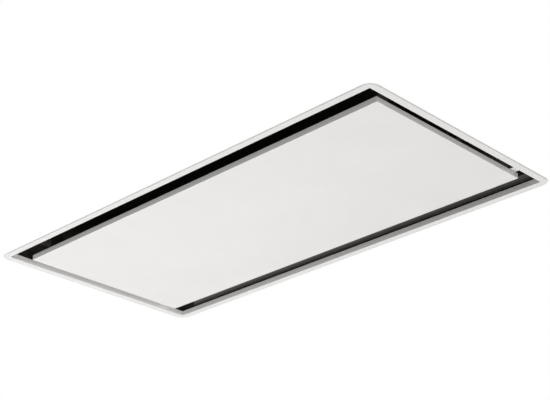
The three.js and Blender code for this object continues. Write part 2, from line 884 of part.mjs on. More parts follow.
place("fan_wheel", fanWheel(), "galvanised", fan);
place("motor_shaft", motorShaft(), "steel", fan);
place("motor_body", motorBody(), "galvanised", fan);
for (let i = 0; i < bushCount; i++) {
  place("motor_bush_" + (i + 1), motorBush(i), "rubber", fan);
}

// ---------------------------------------------------------------- outlet collar and flaps

const collarInner = collarRadius - collarSheet;
const flapPinHeight = collarSeatHeight + flapPinLift;

function outletCollar() {
  const base = FIT;
  const flangeTop = FIT + collarSheet;
  const outline = [
    [collarInner, base],
    [collarRadius + collarFlangeWidth, base],
    [collarRadius + collarFlangeWidth, flangeTop],
    [collarRadius, flangeTop],
    [collarRadius, collarHeight],
    [collarInner, collarHeight],
    [collarInner, collarSeatHeight],
    [collarInner - collarSeatWidth, collarSeatHeight],
    [collarInner - collarSeatWidth, collarSeatHeight - collarSeatSheet],
    [collarInner, collarSeatHeight - collarSeatSheet],
  ];
  return solid(turned(outline));
}

// The two flaps share one pin across the collar. They are the same piece, turned half round,
// and its two knuckles are placed so that theirs take turns along the pin.
function flap() {
  const radius = collarInner - flapClearance;
  const plateTop = -flapPinLift + FIT + flapSheet;
  const disc = barAlongZ(radius, plateTop - flapSheet, plateTop, sidesOfHole);
  const halfPlane = block(-radius - 1, radius + 1, -radius - 1, flapSplit, -radius, radius);
  let body = cut(solid(disc), halfPlane);
  const bores = [];
  for (const turn of [-1.5, 0.5]) {
    const middle = turn * flapKnucklePitch;
    const half = (flapKnucklePitch - flapKnuckleGap) / 2;
    const xs = [middle - half, middle + half];
    const outer = flapPinRadius + flapKnuckleBoreClearance + flapKnuckleWall;
    const knuckle = barAlongX(outer, ...xs, sidesOfKnuckle);
    const web = block(...xs, 0, flapSplit + flapWebReach, plateTop - flapSheet, plateTop);
    body = body.add(joined(knuckle, web));
    const bore = flapPinRadius + flapKnuckleBoreClearance;
    bores.push(barAlongX(bore, xs[0] - 1, xs[1] + 1, sidesOfKnuckle));
  }
  return cut(body, ...bores);
}

function flapPin() {
  return solid(barAlongX(flapPinRadius, -collarInner + FIT, collarInner - FIT, sidesOfKnuckle));
}

const outlet = groupAt(0, 0, casingHeight);
place("outlet_collar", outletCollar(), "blackPlastic", outlet);
const flapAxis = groupAt(0, 0, flapPinHeight, outlet);
place("flap_pin", flapPin(), "steel", flapAxis);
place("flap_back", flap(), "blackPlastic", flapAxis);
place("flap_front", flap(), "blackPlastic", flapAxis).rotation.z = Math.PI;

// ---------------------------------------------------------------- electrics

// The box's origin is under the casing's top, in the middle of the box.
const boxBottom = -electricBoxHeight;

function electricBox() {
  const outside = centredBlock(electricBoxLength, electricBoxDepth, boxBottom, 0);
  const hollow = centredBlock(
    electricBoxLength - 2 * electricBoxSheet,
    electricBoxDepth - 2 * electricBoxSheet,
    boxBottom - 1,
    -electricBoxSheet,
  );
  const glandHole = barAlongZ(glandThreadRadius + FIT, -electricBoxSheet - 1, 1);
  return cut(solid(outside), hollow, glandHole.translate(glandX - electricBoxX, 0, 0));
}

function electricBoxLid() {
  const top = boxBottom - FIT;
  return solid(centredBlock(electricBoxLength, electricBoxDepth, top - electricBoxSheet, top));
}

const boardBottom = boxBottom + boardStandoff;
const boardLength = electricBoxLength - 4 * boardMargin - terminalDepth;

// The board stands on four feet on the lid, with its transformer and relays on top.
function controlBoard() {
  const depth = electricBoxDepth - 2 * boardMargin;
  const top = boardBottom + boardSheet;
  const board = centredBlock(boardLength, depth, boardBottom, top);
  const transformer = centredBlock(
    transformerSize,
    transformerSize,
    top - WELD,
    top + transformerHeight,
  );
  transformer.translate(-boardLength / 2 + transformerSize, 0, 0);
  const relays = [-1, 1].map((side) => {
    const relay = centredBlock(relaySize, relaySize, top - WELD, top + relaySize);
    return relay.translate(boardLength / 6, side * relaySize, 0);
  });
  const feet = [-1, 1].flatMap((sideX) =>
    [-1, 1].map((sideY) => {
      const foot = barAlongZ(boardFootRadius, boxBottom, boardBottom + WELD, sidesOfFoot);
      const x = sideX * (boardLength / 2 - boardFootInset);
      return foot.translate(x, sideY * (depth / 2 - boardFootInset), 0);
    }),
  );
  return joined(board, transformer, ...relays, ...feet);
}

function terminalBlock() {
  const body = block(
    -terminalDepth / 2,
    terminalDepth / 2,
    -terminalLength / 2,
    terminalLength / 2,
    boxBottom,
    boxBottom + terminalHeight,
  );
  return solid(body);
}

function capacitor() {
  const half = capacitorLength / 2;
  return solid(barAlongX(capacitorRadius, -half, half, sidesOfCapacitor));
}

// The gland goes through the casing and the box; its origin is on the casing's top face.
function cableGland() {
  const flangeTop = FIT + glandFlangeHeight;
  const outline = [
    [glandBoreRadius, -glandThreadLength],
    [glandThreadRadius, -glandThreadLength],
    [glandThreadRadius, FIT],
    [glandFlangeRadius, FIT],
    [glandFlangeRadius, flangeTop],
    [glandFlangeRadius - glandNeckInset, flangeTop],
    [glandFlangeRadius - glandNeckInset - glandDomeTaper, flangeTop + glandShoulderHeight],
    [glandBoreRadius + glandLip, flangeTop + glandDomeHeight],
    [glandBoreRadius, flangeTop + glandDomeHeight],
  ];
  return solid(turned(outline, sidesOfPin));
}

const electrics = groupAt(electricBoxX, electricBoxY, wallTop);
place("electric_box", electricBox(), "galvanised", electrics);
place("electric_box_lid", electricBoxLid(), "galvanised", electrics);
const boardPlace = groupAt(-electricBoxLength / 2 + boardMargin + boardLength / 2, 0, 0, electrics);
place("control_board", controlBoard(), "circuitBoard", boardPlace);
const terminalX = electricBoxLength / 2 - boardMargin - terminalDepth / 2;
const terminalPlace = groupAt(terminalX, 0, 0, electrics);
place("terminal_block", terminalBlock(), "greyPlastic", terminalPlace);
const capacitorPlace = groupAt(
  motorFace + motorLength / 2,
  fanAxisY,
  fanAxisHeight + motorRadius + capacitorRadius + FIT,
);
place("run_capacitor", capacitor(), "greyPlastic", capacitorPlace);
place("cable_gland", cableGland(), "greyPlastic", groupAt(glandX, electricBoxY, casingHeight));

// ---------------------------------------------------------------- suspension brackets

// A Z of thick sheet: its foot lies on the casing, and its slotted top takes a hanging rod.
function suspensionBracket() {
  const half = bracketWidth / 2;
  const low = FIT;
  const high = FIT + bracketHeight;
  const foot = block(-half, half, -bracketFoot, bracketSheet, low, low + bracketSheet);
  const upright = block(-half, half, 0, bracketSheet, low, high);
  const top = block(-half, half, 0, bracketFoot, high - bracketSheet, high);
  const slot = new THREE.Shape();
  const straight = bracketSlotLength / 2;
  slot.absarc(straight, 0, bracketSlotRadius, -Math.PI / 2, Math.PI / 2);
  slot.absarc(-straight, 0, bracketSlotRadius, Math.PI / 2, 1.5 * Math.PI);
  const tool = alongZ(slot, high - bracketSheet - 1, high + 1);
  return cut(joined(foot, upright, top), tool.translate(0, bracketFoot / 2, 0));
}

for (const [end, sideX] of ENDS) {
  for (const [side, sideY] of [["front", -1], ["back", 1]]) {
    const x = sideX * (casingLength / 2 - bracketEndInset);
    const y = sideY * (casingDepth / 2 - bracketSideInset);
    const corner = groupAt(x, y, casingHeight);
    corner.rotation.z = sideY > 0 ? 0 : Math.PI;
    place("suspension_bracket_" + side + "_" + end, suspensionBracket(), "zincPlated", corner);
  }
}

export default hood;
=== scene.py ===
# %% [markdown]
# A ceiling range hood, seen from the room below. Blender dresses the solids that a CAD program
# made: they come in as a fixed frame, in metres, and each piece made here rides on one of the
# frame's bodies. The origin is the middle of the underside, with X along the hood, Y across it
# and Z up into the ceiling. Pieces are given in millimetres, and MM turns them into metres.

import json
from math import acos, cos, degrees, pi, radians, sin

import bmesh
import bpy
from mathutils import Matrix, Vector


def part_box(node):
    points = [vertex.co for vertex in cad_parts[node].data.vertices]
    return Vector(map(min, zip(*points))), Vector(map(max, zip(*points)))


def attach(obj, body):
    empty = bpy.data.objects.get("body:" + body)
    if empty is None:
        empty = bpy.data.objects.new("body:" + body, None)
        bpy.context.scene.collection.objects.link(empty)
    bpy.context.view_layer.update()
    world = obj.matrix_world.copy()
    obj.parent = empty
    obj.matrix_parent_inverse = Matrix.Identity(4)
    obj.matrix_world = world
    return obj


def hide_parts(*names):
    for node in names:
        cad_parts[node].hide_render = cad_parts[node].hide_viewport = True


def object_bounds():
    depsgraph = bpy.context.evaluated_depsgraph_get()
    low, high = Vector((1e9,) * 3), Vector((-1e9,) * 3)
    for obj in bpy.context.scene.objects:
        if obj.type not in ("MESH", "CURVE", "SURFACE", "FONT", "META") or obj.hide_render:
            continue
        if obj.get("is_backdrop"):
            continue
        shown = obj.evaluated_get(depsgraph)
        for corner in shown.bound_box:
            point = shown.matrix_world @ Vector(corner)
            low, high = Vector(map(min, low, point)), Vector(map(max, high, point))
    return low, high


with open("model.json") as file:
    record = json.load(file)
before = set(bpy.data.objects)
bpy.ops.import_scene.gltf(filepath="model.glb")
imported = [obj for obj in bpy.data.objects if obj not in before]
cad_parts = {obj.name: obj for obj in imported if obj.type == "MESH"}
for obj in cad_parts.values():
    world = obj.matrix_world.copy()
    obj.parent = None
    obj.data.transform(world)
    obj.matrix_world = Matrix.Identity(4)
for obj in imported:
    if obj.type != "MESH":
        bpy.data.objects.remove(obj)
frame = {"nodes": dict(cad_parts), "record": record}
cad_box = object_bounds()
NODES = frame["nodes"]
BODY_OF = {
    node: body
    for body, nodes in frame["record"]["behaviour"]["bodies"].items()
    for node in nodes
}
MM = 0.001

# %% [markdown]
# The camera stands below the hood and to its right, turned up at it. Its place was solved from
# the long straight edges, so the perspective is the real one: a fairly long lens, 2.5 m away.
# A camera could also be set by eye, but straight edges show an error of one pixel.

# %% The camera
CAMERA_AT = Vector((1.682457, -1.667048, -1.091121))
CAMERA_AIM = Vector((0.089109, -0.048346, 0.0))

lens = bpy.data.cameras.new("room_view")
lens.sensor_width = 36
lens.lens = 88.42
camera = bpy.data.objects.new("room_view", lens)
camera.location = CAMERA_AT
camera.rotation_euler = (CAMERA_AIM - CAMERA_AT).to_track_quat("-Z", "Y").to_euler()
bpy.context.scene.collection.objects.link(camera)
bpy.context.scene.camera = camera
bpy.context.scene.view_settings.view_transform = "Standard"
print("camera is", round((CAMERA_AIM - CAMERA_AT).length, 3), "m from the hood")

# %% [markdown]
# A finish is a small network of nodes. It could be wired by hand in the shader editor, but a
# script can repeat it: add_node makes one node, sets it, and links or fills its sockets, and
# drive links a value to the finish itself. The world has a node tree too, so the same helper
# lights the room further down.

# %% One node at a time
def add_node(owner, kind, settings=None, sockets=None):
    made = owner.node_tree.nodes.new("ShaderNode" + kind)
    for key, value in (settings or {}).items():
        setattr(made, key, value)
    for key, value in (sockets or {}).items():
        if isinstance(value, bpy.types.NodeSocket):
            owner.node_tree.links.new(value, made.inputs[key])
        else:
            made.inputs[key].default_value = value
    return made


FINISH = {}


def shader_of(material):
    return material.node_tree.nodes["Principled BSDF"]


def drive(material, name, value):
    material.node_tree.links.new(value, shader_of(material).inputs[name])


def new_finish(name, colour, roughness, metallic=0.0):
    material = bpy.data.materials.new(name)
    material.use_nodes = True
    shader = shader_of(material)
    shader.inputs["Base Color"].default_value = (*colour, 1)
    shader.inputs["Roughness"].default_value = roughness
    shader.inputs["Metallic"].default_value = metallic
    FINISH[name] = material
    return material


print("nodes can be added")

# %% [markdown]
# No real surface is even, so patterns make it uneven: one noise for stains, grain and waves. It
# is measured in metres from the object's own origin, so a grain of 1 mm is 1 mm on every piece,
# and it can be stretched along one axis to draw lines. A photograph of a surface is the other
# way, but it repeats, and it has to be laid out on every piece.

# %% Patterns
def place_in(material, stretch=(1, 1, 1)):
    spot = add_node(material, "TexCoord").outputs["Object"]
    return add_node(material, "Mapping", None, {"Vector": spot, "Scale": stretch}).outputs[0]


def noise(material, scale, detail=2.0, stretch=(1, 1, 1), output="Fac"):
    sockets = {"Vector": place_in(material, stretch), "Scale": scale, "Detail": detail}
    return add_node(material, "TexNoise", None, sockets).outputs[output]


print("a noise of scale 100 has waves of about 10 mm")

# %% [markdown]
# A pattern then drives the colour, the roughness and the bumps of a finish. Each helper adds one
# link of that chain, so a finish reads as a list of what it does. Bumps can be stacked: a new one
# takes the old one as its normal. One large group of nodes could hold it all, but most finishes
# need only a part of it.

# %% What a pattern drives
def colour_from(material, value, low, high, start=0.3, end=0.7):
    ramp = add_node(material, "ValToRGB", None, {"Fac": value})
    for stop, place, colour in zip(ramp.color_ramp.elements, (start, end), (low, high)):
        stop.position = place
        stop.color = (*colour, 1)
    drive(material, "Base Color", ramp.outputs["Color"])


def roughness_from(material, value, low, high, start=0.3, end=0.7):
    sockets = {"Value": value, "From Min": start, "From Max": end, "To Min": low, "To Max": high}
    drive(material, "Roughness", add_node(material, "MapRange", None, sockets).outputs["Result"])


def bumps_from(material, height, depth, strength=1.0):
    earlier = shader_of(material).inputs["Normal"].links
    sockets = {"Height": height, "Distance": depth, "Strength": strength}
    if earlier:
        sockets["Normal"] = earlier[0].from_socket
    drive(material, "Normal", add_node(material, "Bump", None, sockets).outputs["Normal"])


print("patterns can drive colour, roughness and bumps")

# %% [markdown]
# The room side is a thin white powder coat, baked on. Close up it isn't flat: it has the long low
# waves of orange peel and a fine grain, and it is a little more matt in some places. A plain
# white would do from far away, but the waves are what catches light at the folds. The hinge tabs
# and the lip's left side get a whiter coat, which is painted light. The lip's far side and the
# panel's end walls get coats of their own that carry painted shade. The flange's cut edge is
# grey, which is painted shade.

# %% White powder coat
COAT_WHITE = ((0.863, 0.857, 0.85), (0.883, 0.877, 0.87))
PAINTED_LIGHT_WHITE = ((0.97, 0.97, 0.965), (0.985, 0.985, 0.98))
EDGE_SHADE_GREY = ((0.56, 0.555, 0.545), (0.62, 0.615, 0.605))


def white_coat(name, low, high):
    coat = new_finish(name, low, 0.42)
    colour_from(coat, noise(coat, 9, 3), low, high)
    roughness_from(coat, noise(coat, 30, 4), 0.36, 0.5)
    bumps_from(coat, noise(coat, 650, 2), 0.00006, 0.5)
    bumps_from(coat, noise(coat, 2600, 1), 0.00002, 0.35)


for name in ("white_powder_coat", "end_shade_coat", "lip_shade_coat"):
    white_coat(name, *COAT_WHITE)
# Painted light: a whiter coat for the tabs' undersides and the lip's left side. Painted shade: a
# grey coat for the flange's cut edge.
white_coat("painted_light_white", *PAINTED_LIGHT_WHITE)
white_coat("edge_shade_coat", *EDGE_SHADE_GREY)
print(len(FINISH), "white coats")

# %% [markdown]
# Painted shade darkens some coats along one axis. That could be a second material, but then the
# change would sit on an edge between two faces: a factor that grows along one axis can change
# anywhere on a plate, softly or within a millimetre. The flange's outermost millimetre is greyer
# in this way, painted shade like its cut edge. So are the panel's end walls beside the tabs and
# along their top, and the lip's far side towards the right. Each change is given by the place
# where the shade is full and the place where it has faded out, in metres.

# %% Painted shade along a plate
TAB_SIDE_SHADE, WALL_TOP_SHADE = (0.172, 0.164), (0.0099, 0.0097)
RIM_SHADE_X, RIM_SHADE_Y = (0.4996, 0.4982), (0.2496, 0.2482)


def shaded_along(name, axis, full, faded, low):
    paint = FINISH[name]
    colour = shader_of(paint).inputs["Base Color"].links[0].from_socket
    place = add_node(paint, "SeparateXYZ", None, {"Vector": place_in(paint)}).outputs[axis]
    sockets = {"Value": place, "From Min": full, "From Max": faded, "To Min": low}
    share = add_node(paint, "MapRange", None, sockets).outputs["Result"]
    sockets = {0: colour, "Scale": share}
    shaded = add_node(paint, "VectorMath", {"operation": "SCALE"}, sockets)
    drive(paint, "Base Color", shaded.outputs[0])


# Painted shade: the panel's end walls are darker beside the hinge tabs and nearly black along
# their top, and the lip's far side is darker towards the right.
shaded_along("end_shade_coat", "Y", *TAB_SIDE_SHADE, 0.72)
shaded_along("end_shade_coat", "Z", *WALL_TOP_SHADE, 0.06)
shaded_along("lip_shade_coat", "X", 0.5, -0.2, 0.76)
# Painted shade: the flange's outermost 1.4 mm is darker all round.
for axis, rim in (("X", RIM_SHADE_X), ("Y", RIM_SHADE_Y)):
    shaded_along("white_powder_coat", axis, -rim[0], -rim[1], 0.7)
    shaded_along("white_powder_coat", axis, *rim, 0.7)
print("the flange's rim, the lip and the panel's end walls are partly greyer")

# %% [markdown]
# Inside the opening the steel is painted black, so that the eye doesn't stop there. The paint is
# satin, thin and slightly uneven, with dust that takes off a little of its depth. Painted shade
# darkens the liner at its foot, towards its right end and most at its left end. It also darkens
# the deck at its left end, and the walls above the filters. A band of painted light, 57 to 80 mm
# up, makes the left wall lighter than the other walls. The catches' brackets are a lighter grey.
# One dark grey would be simpler, but then the gap looks like a hole in the picture: the dust is
# what shows that there are walls.

# %% Black paints
LINER_FOOT_SHADE, LINER_LEFT_SHADE = (0.0135, 0.025), (-0.4485, -0.4465)
LIGHT_BAND_FOOT, SHADE_ABOVE_FILTERS = (0.05, 0.057), (0.08, 0.07)


def painted_black(name, low, high, roughness, gloss):
    paint = new_finish(name, low, roughness)
    shader_of(paint).inputs["Specular IOR Level"].default_value = gloss
    colour_from(paint, noise(paint, 22, 5), low, high)
    roughness_from(paint, noise(paint, 60, 4), roughness - 0.08, roughness + 0.12)
    bumps_from(paint, noise(paint, 900, 2), 0.00005, 0.5)


painted_black("matt_black_and_shade", (0.034, 0.033, 0.031), (0.05, 0.049, 0.046), 0.7, 0.12)
# The liner is a mid grey. Painted shade darkens its foot, its right end and, most, its left end.
painted_black("liner_paint_and_shade", (0.27, 0.265, 0.248), (0.33, 0.324, 0.303), 0.45, 0.4)
shaded_along("liner_paint_and_shade", "Z", *LINER_FOOT_SHADE, 0.1)
shaded_along("liner_paint_and_shade", "X", 0.5, -0.1, 0.7)
shaded_along("liner_paint_and_shade", "X", *LINER_LEFT_SHADE, 0.18)
# Painted light: the left wall is lighter from 57 to 80 mm up. Elsewhere the walls are darker, and
# painted shade makes them nearly black above the filters.
painted_black("wall_paint_light_and_shade", (0.42, 0.412, 0.39), (0.5, 0.49, 0.46), 0.5, 0.3)
shaded_along("wall_paint_light_and_shade", "Z", *LIGHT_BAND_FOOT, 0.3)
shaded_along("wall_paint_light_and_shade", "Z", *SHADE_ABOVE_FILTERS, 0.06)
shaded_along("wall_paint_light_and_shade", "X", -0.4, -0.48, 0.3)
# Painted shade: the deck is darker at its left end.
shaded_along("matt_black_and_shade", "X", -0.43, -0.4, 0.55)
painted_black("bracket_paint", (0.12, 0.118, 0.112), (0.15, 0.147, 0.14), 0.6, 0.2)
print("four black paints")

# %% [markdown]
# Moulded pieces are grained: the mould is etched, and its cells print into the plastic. Cells
# of a Voronoi pattern give that leather-like grain with one node. Foam has the same cells, but
# open and ragged, so it swallows light: a second noise and hardly any gloss.

# %% Plastics, rubber and foam
def moulded(name, low, high, roughness, grain, depth):
    plastic = new_finish(name, low, roughness)
    colour_from(plastic, noise(plastic, 40, 3), low, high)
    roughness_from(plastic, noise(plastic, 90, 3), roughness - 0.07, roughness + 0.08)
    sockets = {"Vector": place_in(plastic), "Scale": grain}
    cells = add_node(plastic, "TexVoronoi", None, sockets).outputs["Distance"]
    bumps_from(plastic, cells, depth, 0.6)
    return plastic


moulded("black_plastic", (0.035, 0.035, 0.037), (0.048, 0.048, 0.05), 0.52, 1400, 0.00008)
moulded("grey_plastic", (0.27, 0.28, 0.29), (0.33, 0.34, 0.35), 0.48, 1600, 0.00006)
moulded("rubber", (0.03, 0.03, 0.031), (0.06, 0.06, 0.061), 0.82, 900, 0.00012)
foam = moulded("foam", (0.006, 0.006, 0.006), (0.012, 0.012, 0.012), 0.93, 1900, 0.0003)
shader_of(foam).inputs["Specular IOR Level"].default_value = 0.1
bumps_from(foam, noise(foam, 700, 4), 0.0003, 0.8)
print(len(FINISH), "finishes so far")

# %% [markdown]
# Galvanised sheet has a spangle: zinc froze on it in crystals of 5 to 10 mm, each of them turned
# its own way, so each shines a little differently. A Voronoi pattern has such cells, and a noise
# that moves them about makes their borders crooked. The random colour of a cell sets its shade
# and its roughness. Noise alone would give clouds, without the straight borders.

# %% Galvanised sheet
zinc_sheet = new_finish("galvanised", (0.62, 0.64, 0.65), 0.4, 1.0)
sockets = {
    0: noise(zinc_sheet, 160, output="Color"),
    1: (0.003, 0.003, 0.003),
    2: place_in(zinc_sheet),
}
moved = add_node(zinc_sheet, "VectorMath", {"operation": "MULTIPLY_ADD"}, sockets).outputs[0]
sockets = {"Vector": moved, "Scale": 170.0, "Randomness": 1.0}
crystals = add_node(zinc_sheet, "TexVoronoi", None, sockets).outputs["Color"]
shade = add_node(zinc_sheet, "SeparateColor", None, {"Color": crystals}).outputs
colour_from(zinc_sheet, shade["Red"], (0.56, 0.575, 0.59), (0.66, 0.675, 0.685), 0, 1)
roughness_from(zinc_sheet, shade["Green"], 0.3, 0.52, 0, 1)
bumps_from(zinc_sheet, shade["Blue"], 0.00002, 0.4)
bumps_from(zinc_sheet, noise(zinc_sheet, 14, 2), 0.0008, 0.2)
print(len(FINISH), "finishes so far")

# %% [markdown]
# Small hardware is zinc plated, and the filters are aluminium in a dark grey, which is painted
# shade: it keeps them as dark as the shade in the gap. Shafts are turned steel. Most carry fine
# lines from how they were made: noise that is stretched along one axis draws them, and a broad
# noise dulls some places. The shader could stretch its highlight instead, but that shows no lines
# close up.

# %% Bright metals
def drawn_metal(name, low, high, roughness, stretch, depth):
    metal = new_finish(name, low, roughness, 1.0)
    lines = noise(metal, 900, 3, stretch)
    colour_from(metal, noise(metal, 35, 4), low, high)
    roughness_from(metal, lines, roughness - 0.08, roughness + 0.1)
    bumps_from(metal, lines, depth, 0.5)


drawn_metal("zinc_plated", (0.58, 0.59, 0.57), (0.7, 0.71, 0.69), 0.34, (1, 1, 1), 0.00002)
drawn_metal("aluminium", (0.6, 0.61, 0.62), (0.7, 0.71, 0.72), 0.38, (0.05, 1, 1), 0.00003)
drawn_metal("steel", (0.47, 0.48, 0.49), (0.58, 0.59, 0.6), 0.3, (1, 0.05, 0.05), 0.00002)
drawn_metal("shade_dark_aluminium", (0.13, 0.13, 0.13), (0.2, 0.2, 0.2), 0.6, (1, 1, 1), 0.00004)
drawn_metal("shade_dark_rim_aluminium", (0.17, 0.17, 0.17), (0.23, 0.23, 0.23), 0.5, (0.05, 1, 1), 0.00003)
print(len(FINISH), "finishes so far")

# %% [markdown]
# The circuit board has a green lacquer over copper tracks. The tracks show as slightly lighter
# straight lines. They could be drawn one by one, but a brick pattern, whose mortar is the
# track, draws them well enough at this size. The winding's bare copper is a finish as well.

# %% Circuit board and copper
board_finish = new_finish("circuit_board", (0.04, 0.17, 0.08), 0.3)
sockets = {
    "Vector": place_in(board_finish),
    "Scale": 150.0,
    "Mortar Size": 0.05,
    "Color1": (0.02, 0.13, 0.06, 1),
    "Color2": (0.03, 0.17, 0.08, 1),
    "Mortar": (0.06, 0.27, 0.12, 1),
}
tracks = add_node(board_finish, "TexBrick", {"offset": 0.37, "offset_frequency": 3}, sockets)
drive(board_finish, "Base Color", tracks.outputs["Color"])
bumps_from(board_finish, tracks.outputs["Fac"], 0.00004, 0.5)
copper = new_finish("copper", (0.72, 0.34, 0.2), 0.35, 1.0)
roughness_from(copper, noise(copper, 300, 3), 0.25, 0.45)
colour_from(copper, noise(copper, 120, 3), (0.6, 0.26, 0.14), (0.78, 0.38, 0.22))
print(len(FINISH), "finishes made")

# %% [markdown]
# The hood hangs in a white room, and white paper round a picture is brighter than any wall. So
# the room answers rays in two ways: to the camera, and to what it sees in metal and glass, it
# is plain white, and to the light it is a pale surface like any other. More light could make it
# white too, but then the hood would be bleached with it.

# %% What the camera sees of the room
def seen_by_lens(owner):
    paths = add_node(owner, "LightPath").outputs
    seen = paths["Is Camera Ray"]
    for other in ("Is Glossy Ray", "Is Transmission Ray"):
        either = add_node(owner, "Math", {"operation": "MAXIMUM"}, {0: seen, 1: paths[other]})
        seen = either.outputs["Value"]
    return seen


def room_piece(name, bm, *materials):
    bmesh.ops.recalc_face_normals(bm, faces=bm.faces)
    mesh = bpy.data.meshes.new(name)
    bm.to_mesh(mesh)
    bm.free()
    for material in materials:
        mesh.materials.append(material)
    made = bpy.data.objects.new(name, mesh)
    bpy.context.scene.collection.objects.link(made)
    made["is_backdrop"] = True


print("room pieces are stage, not part of the hood")

# %% [markdown]
# Nearly every shape here is drawn ring by ring: points in a ring, points in the next ring, and a
# face between each two neighbours. A ring can be a single point, as at the tip of a shaft, and
# then its faces are triangles. A point is given in the piece's own millimetres, and its place is
# a matrix that puts it on the hood. Ready-made cubes and cylinders could be moved about instead,
# but few real pieces are that plain.

# %% Points and bands of faces
AS_DRAWN = Matrix.Identity(4)


def point(bm, x, y, z, place=AS_DRAWN):
    return bm.verts.new(place @ Vector((x * MM, y * MM, z * MM)))


def band(bm, low, high):
    sides = max(len(low), len(high))
    faces = []
    for i in range(sides):
        j = (i + 1) % sides
        corners = (low[i % len(low)], low[j % len(low)], high[j % len(high)])
        corners = dict.fromkeys(corners + (high[i % len(high)],))
        if len(corners) > 2:
            faces.append(bm.faces.new(corners))
    return faces


print("points and bands are ready")

# %% [markdown]
# The ceiling hides the casing. It is a thick plasterboard with a cut-out a little larger than the
# casing. Rings of four corners run from its edge in to the cut-out, up and out again, and each
# band between them is four quads. It is plastered up to the flange, which stands out by less than
# a millimetre. Within 6 mm of the flange it is a little darker, as in any corner that light can't
# get into: an ambient occlusion node finds the place. That shade could be painted on, but the
# node follows the flange by itself.

# %% The ceiling
CUT_OUT = (984, 486)
SPAN = (14000, 14000)
BOARD = (0.8, 14)
CORNER_REACH, CORNER_DEPTH = 6 * MM, 1.9
room_side = new_finish("ceiling_paint", (0.85, 0.85, 0.85), 0.9)
sockets = {"Distance": CORNER_REACH}
corner = add_node(room_side, "AmbientOcclusion", None, sockets).outputs["AO"]
sockets = {0: corner, 1: CORNER_DEPTH}
corner = add_node(room_side, "Math", {"operation": "POWER"}, sockets).outputs["Value"]
sockets = {"Color": (1, 1, 1, 1), "Strength": corner}
plain = add_node(room_side, "Emission", None, sockets).outputs["Emission"]
sockets = {0: seen_by_lens(room_side), 1: shader_of(room_side).outputs["BSDF"], 2: plain}
choice = add_node(room_side, "MixShader", None, sockets).outputs["Shader"]
output = room_side.node_tree.nodes["Material Output"].inputs["Surface"]
room_side.node_tree.links.new(choice, output)
loft_side = new_finish("ceiling_back", (0.8, 0.8, 0.79), 0.95)
bumps_from(loft_side, noise(loft_side, 90, 4), 0.0004, 0.3)

board = bmesh.new()
rings = [
    [point(board, x * size[0] / 2, y * size[1] / 2, height)
     for x, y in ((-1, -1), (1, -1), (1, 1), (-1, 1))]
    for height, sizes in zip(BOARD, ((SPAN, CUT_OUT), (CUT_OUT, SPAN))) for size in sizes
]
for k in range(3):
    for face in band(board, rings[k], rings[k + 1]):
        face.material_index = min(k, 1)
room_piece("ceiling", board, room_side, loft_side)
print("ceiling from", BOARD[0], "to", BOARD[1], "mm")

# %% [markdown]
# The floor is far below. The camera doesn't look at it from the room, but it keeps the shadow in
# views from above, and it throws a little light back up, as real floors do. It is a grid and not
# a part of the world, because only a surface can take a shadow.

# %% The floor
FLOOR = -7.0
floor_paint = new_finish("floor_paint", (0.82, 0.82, 0.81), 0.8)
bumps_from(floor_paint, noise(floor_paint, 4, 3), 0.002, 0.3)
ground = bmesh.new()
bmesh.ops.create_grid(ground, x_segments=8, y_segments=8, size=5.0)
bmesh.ops.translate(ground, verts=ground.verts, vec=(0, 0, FLOOR))
room_piece("floor", ground, floor_paint)
print("floor at", FLOOR, "m")

# %% [markdown]
# Most of the light comes from all round: a world that is dimmer below the hood than beside and
# above it, as a room with a pale ceiling is, and a little warm. The camera sees it as plain
# white. A picture of a sky would do the same work, but a ramp over the height is all it takes.

# %% The world
BELOW, ABOVE = (-0.25, 0.4), (0.15, 0.85)
world = bpy.data.worlds.new("room_light")
world.use_nodes = True
bpy.context.scene.world = world
world.node_tree.nodes.clear()
direction = add_node(world, "TexCoord").outputs["Generated"]
height = add_node(world, "SeparateXYZ", None, {"Vector": direction}).outputs["Z"]
sockets = {"Value": height, "From Min": BELOW[0], "From Max": ABOVE[0]}
sockets |= {"To Min": BELOW[1], "To Max": ABOVE[1]}
glow = add_node(world, "MapRange", None, sockets).outputs["Result"]
seen = seen_by_lens(world)
strength = add_node(world, "Mix", {"data_type": "FLOAT"}, {0: seen, 2: glow, 3: 1.0}).outputs[0]
sockets = {0: seen, 6: (1, 0.985, 0.955, 1), 7: (1, 1, 1, 1)}
tint = add_node(world, "Mix", {"data_type": "RGBA"}, sockets).outputs[2]
backdrop = add_node(world, "Background", None, {"Color": tint, "Strength": strength})
surface = add_node(world, "OutputWorld").inputs["Surface"]
world.node_tree.links.new(backdrop.outputs["Background"], surface)
print("world from", BELOW[1], "below to", ABOVE[1], "above")

# %% [markdown]
# Lamps give the light a side. The window lamp, on the left, makes the panel a little brighter
# there; the room lamp, on the right, fills the folded edges; and the low lamp is narrow and
# lights little but the lip at the left end. The loft lamp is for views from above. The large ones
# are metres wide, so no shadow has a hard edge. One strong lamp could light it all, but then each
# fold would be either bright or black.

# %% The lamps
def soft_lamp(name, at, aim, size, watts, spread=180):
    lamp = bpy.data.lights.new(name, "AREA")
    lamp.shape = "DISK"
    lamp.size = size
    lamp.energy = watts
    lamp.spread = radians(spread)
    made = bpy.data.objects.new(name, lamp)
    made.location = at
    made.rotation_euler = (Vector(aim) - Vector(at)).to_track_quat("-Z", "Y").to_euler()
    bpy.context.scene.collection.objects.link(made)


soft_lamp("window_lamp", (-1.9, -1.3, -2.8), (0, 0, 0), 2.0, 55)
soft_lamp("low_lamp", (1.6, -0.2, -0.75), (-0.485, 0, 0), 0.3, 0.1, 22)
soft_lamp("room_lamp", (3.6, 0.0, -2.8), (0, 0, 0), 2.0, 36)
soft_lamp("loft_lamp", (-1.6, -2.4, 3.0), (0, 0, 0.15), 1.6, 40)
print("four lamps")

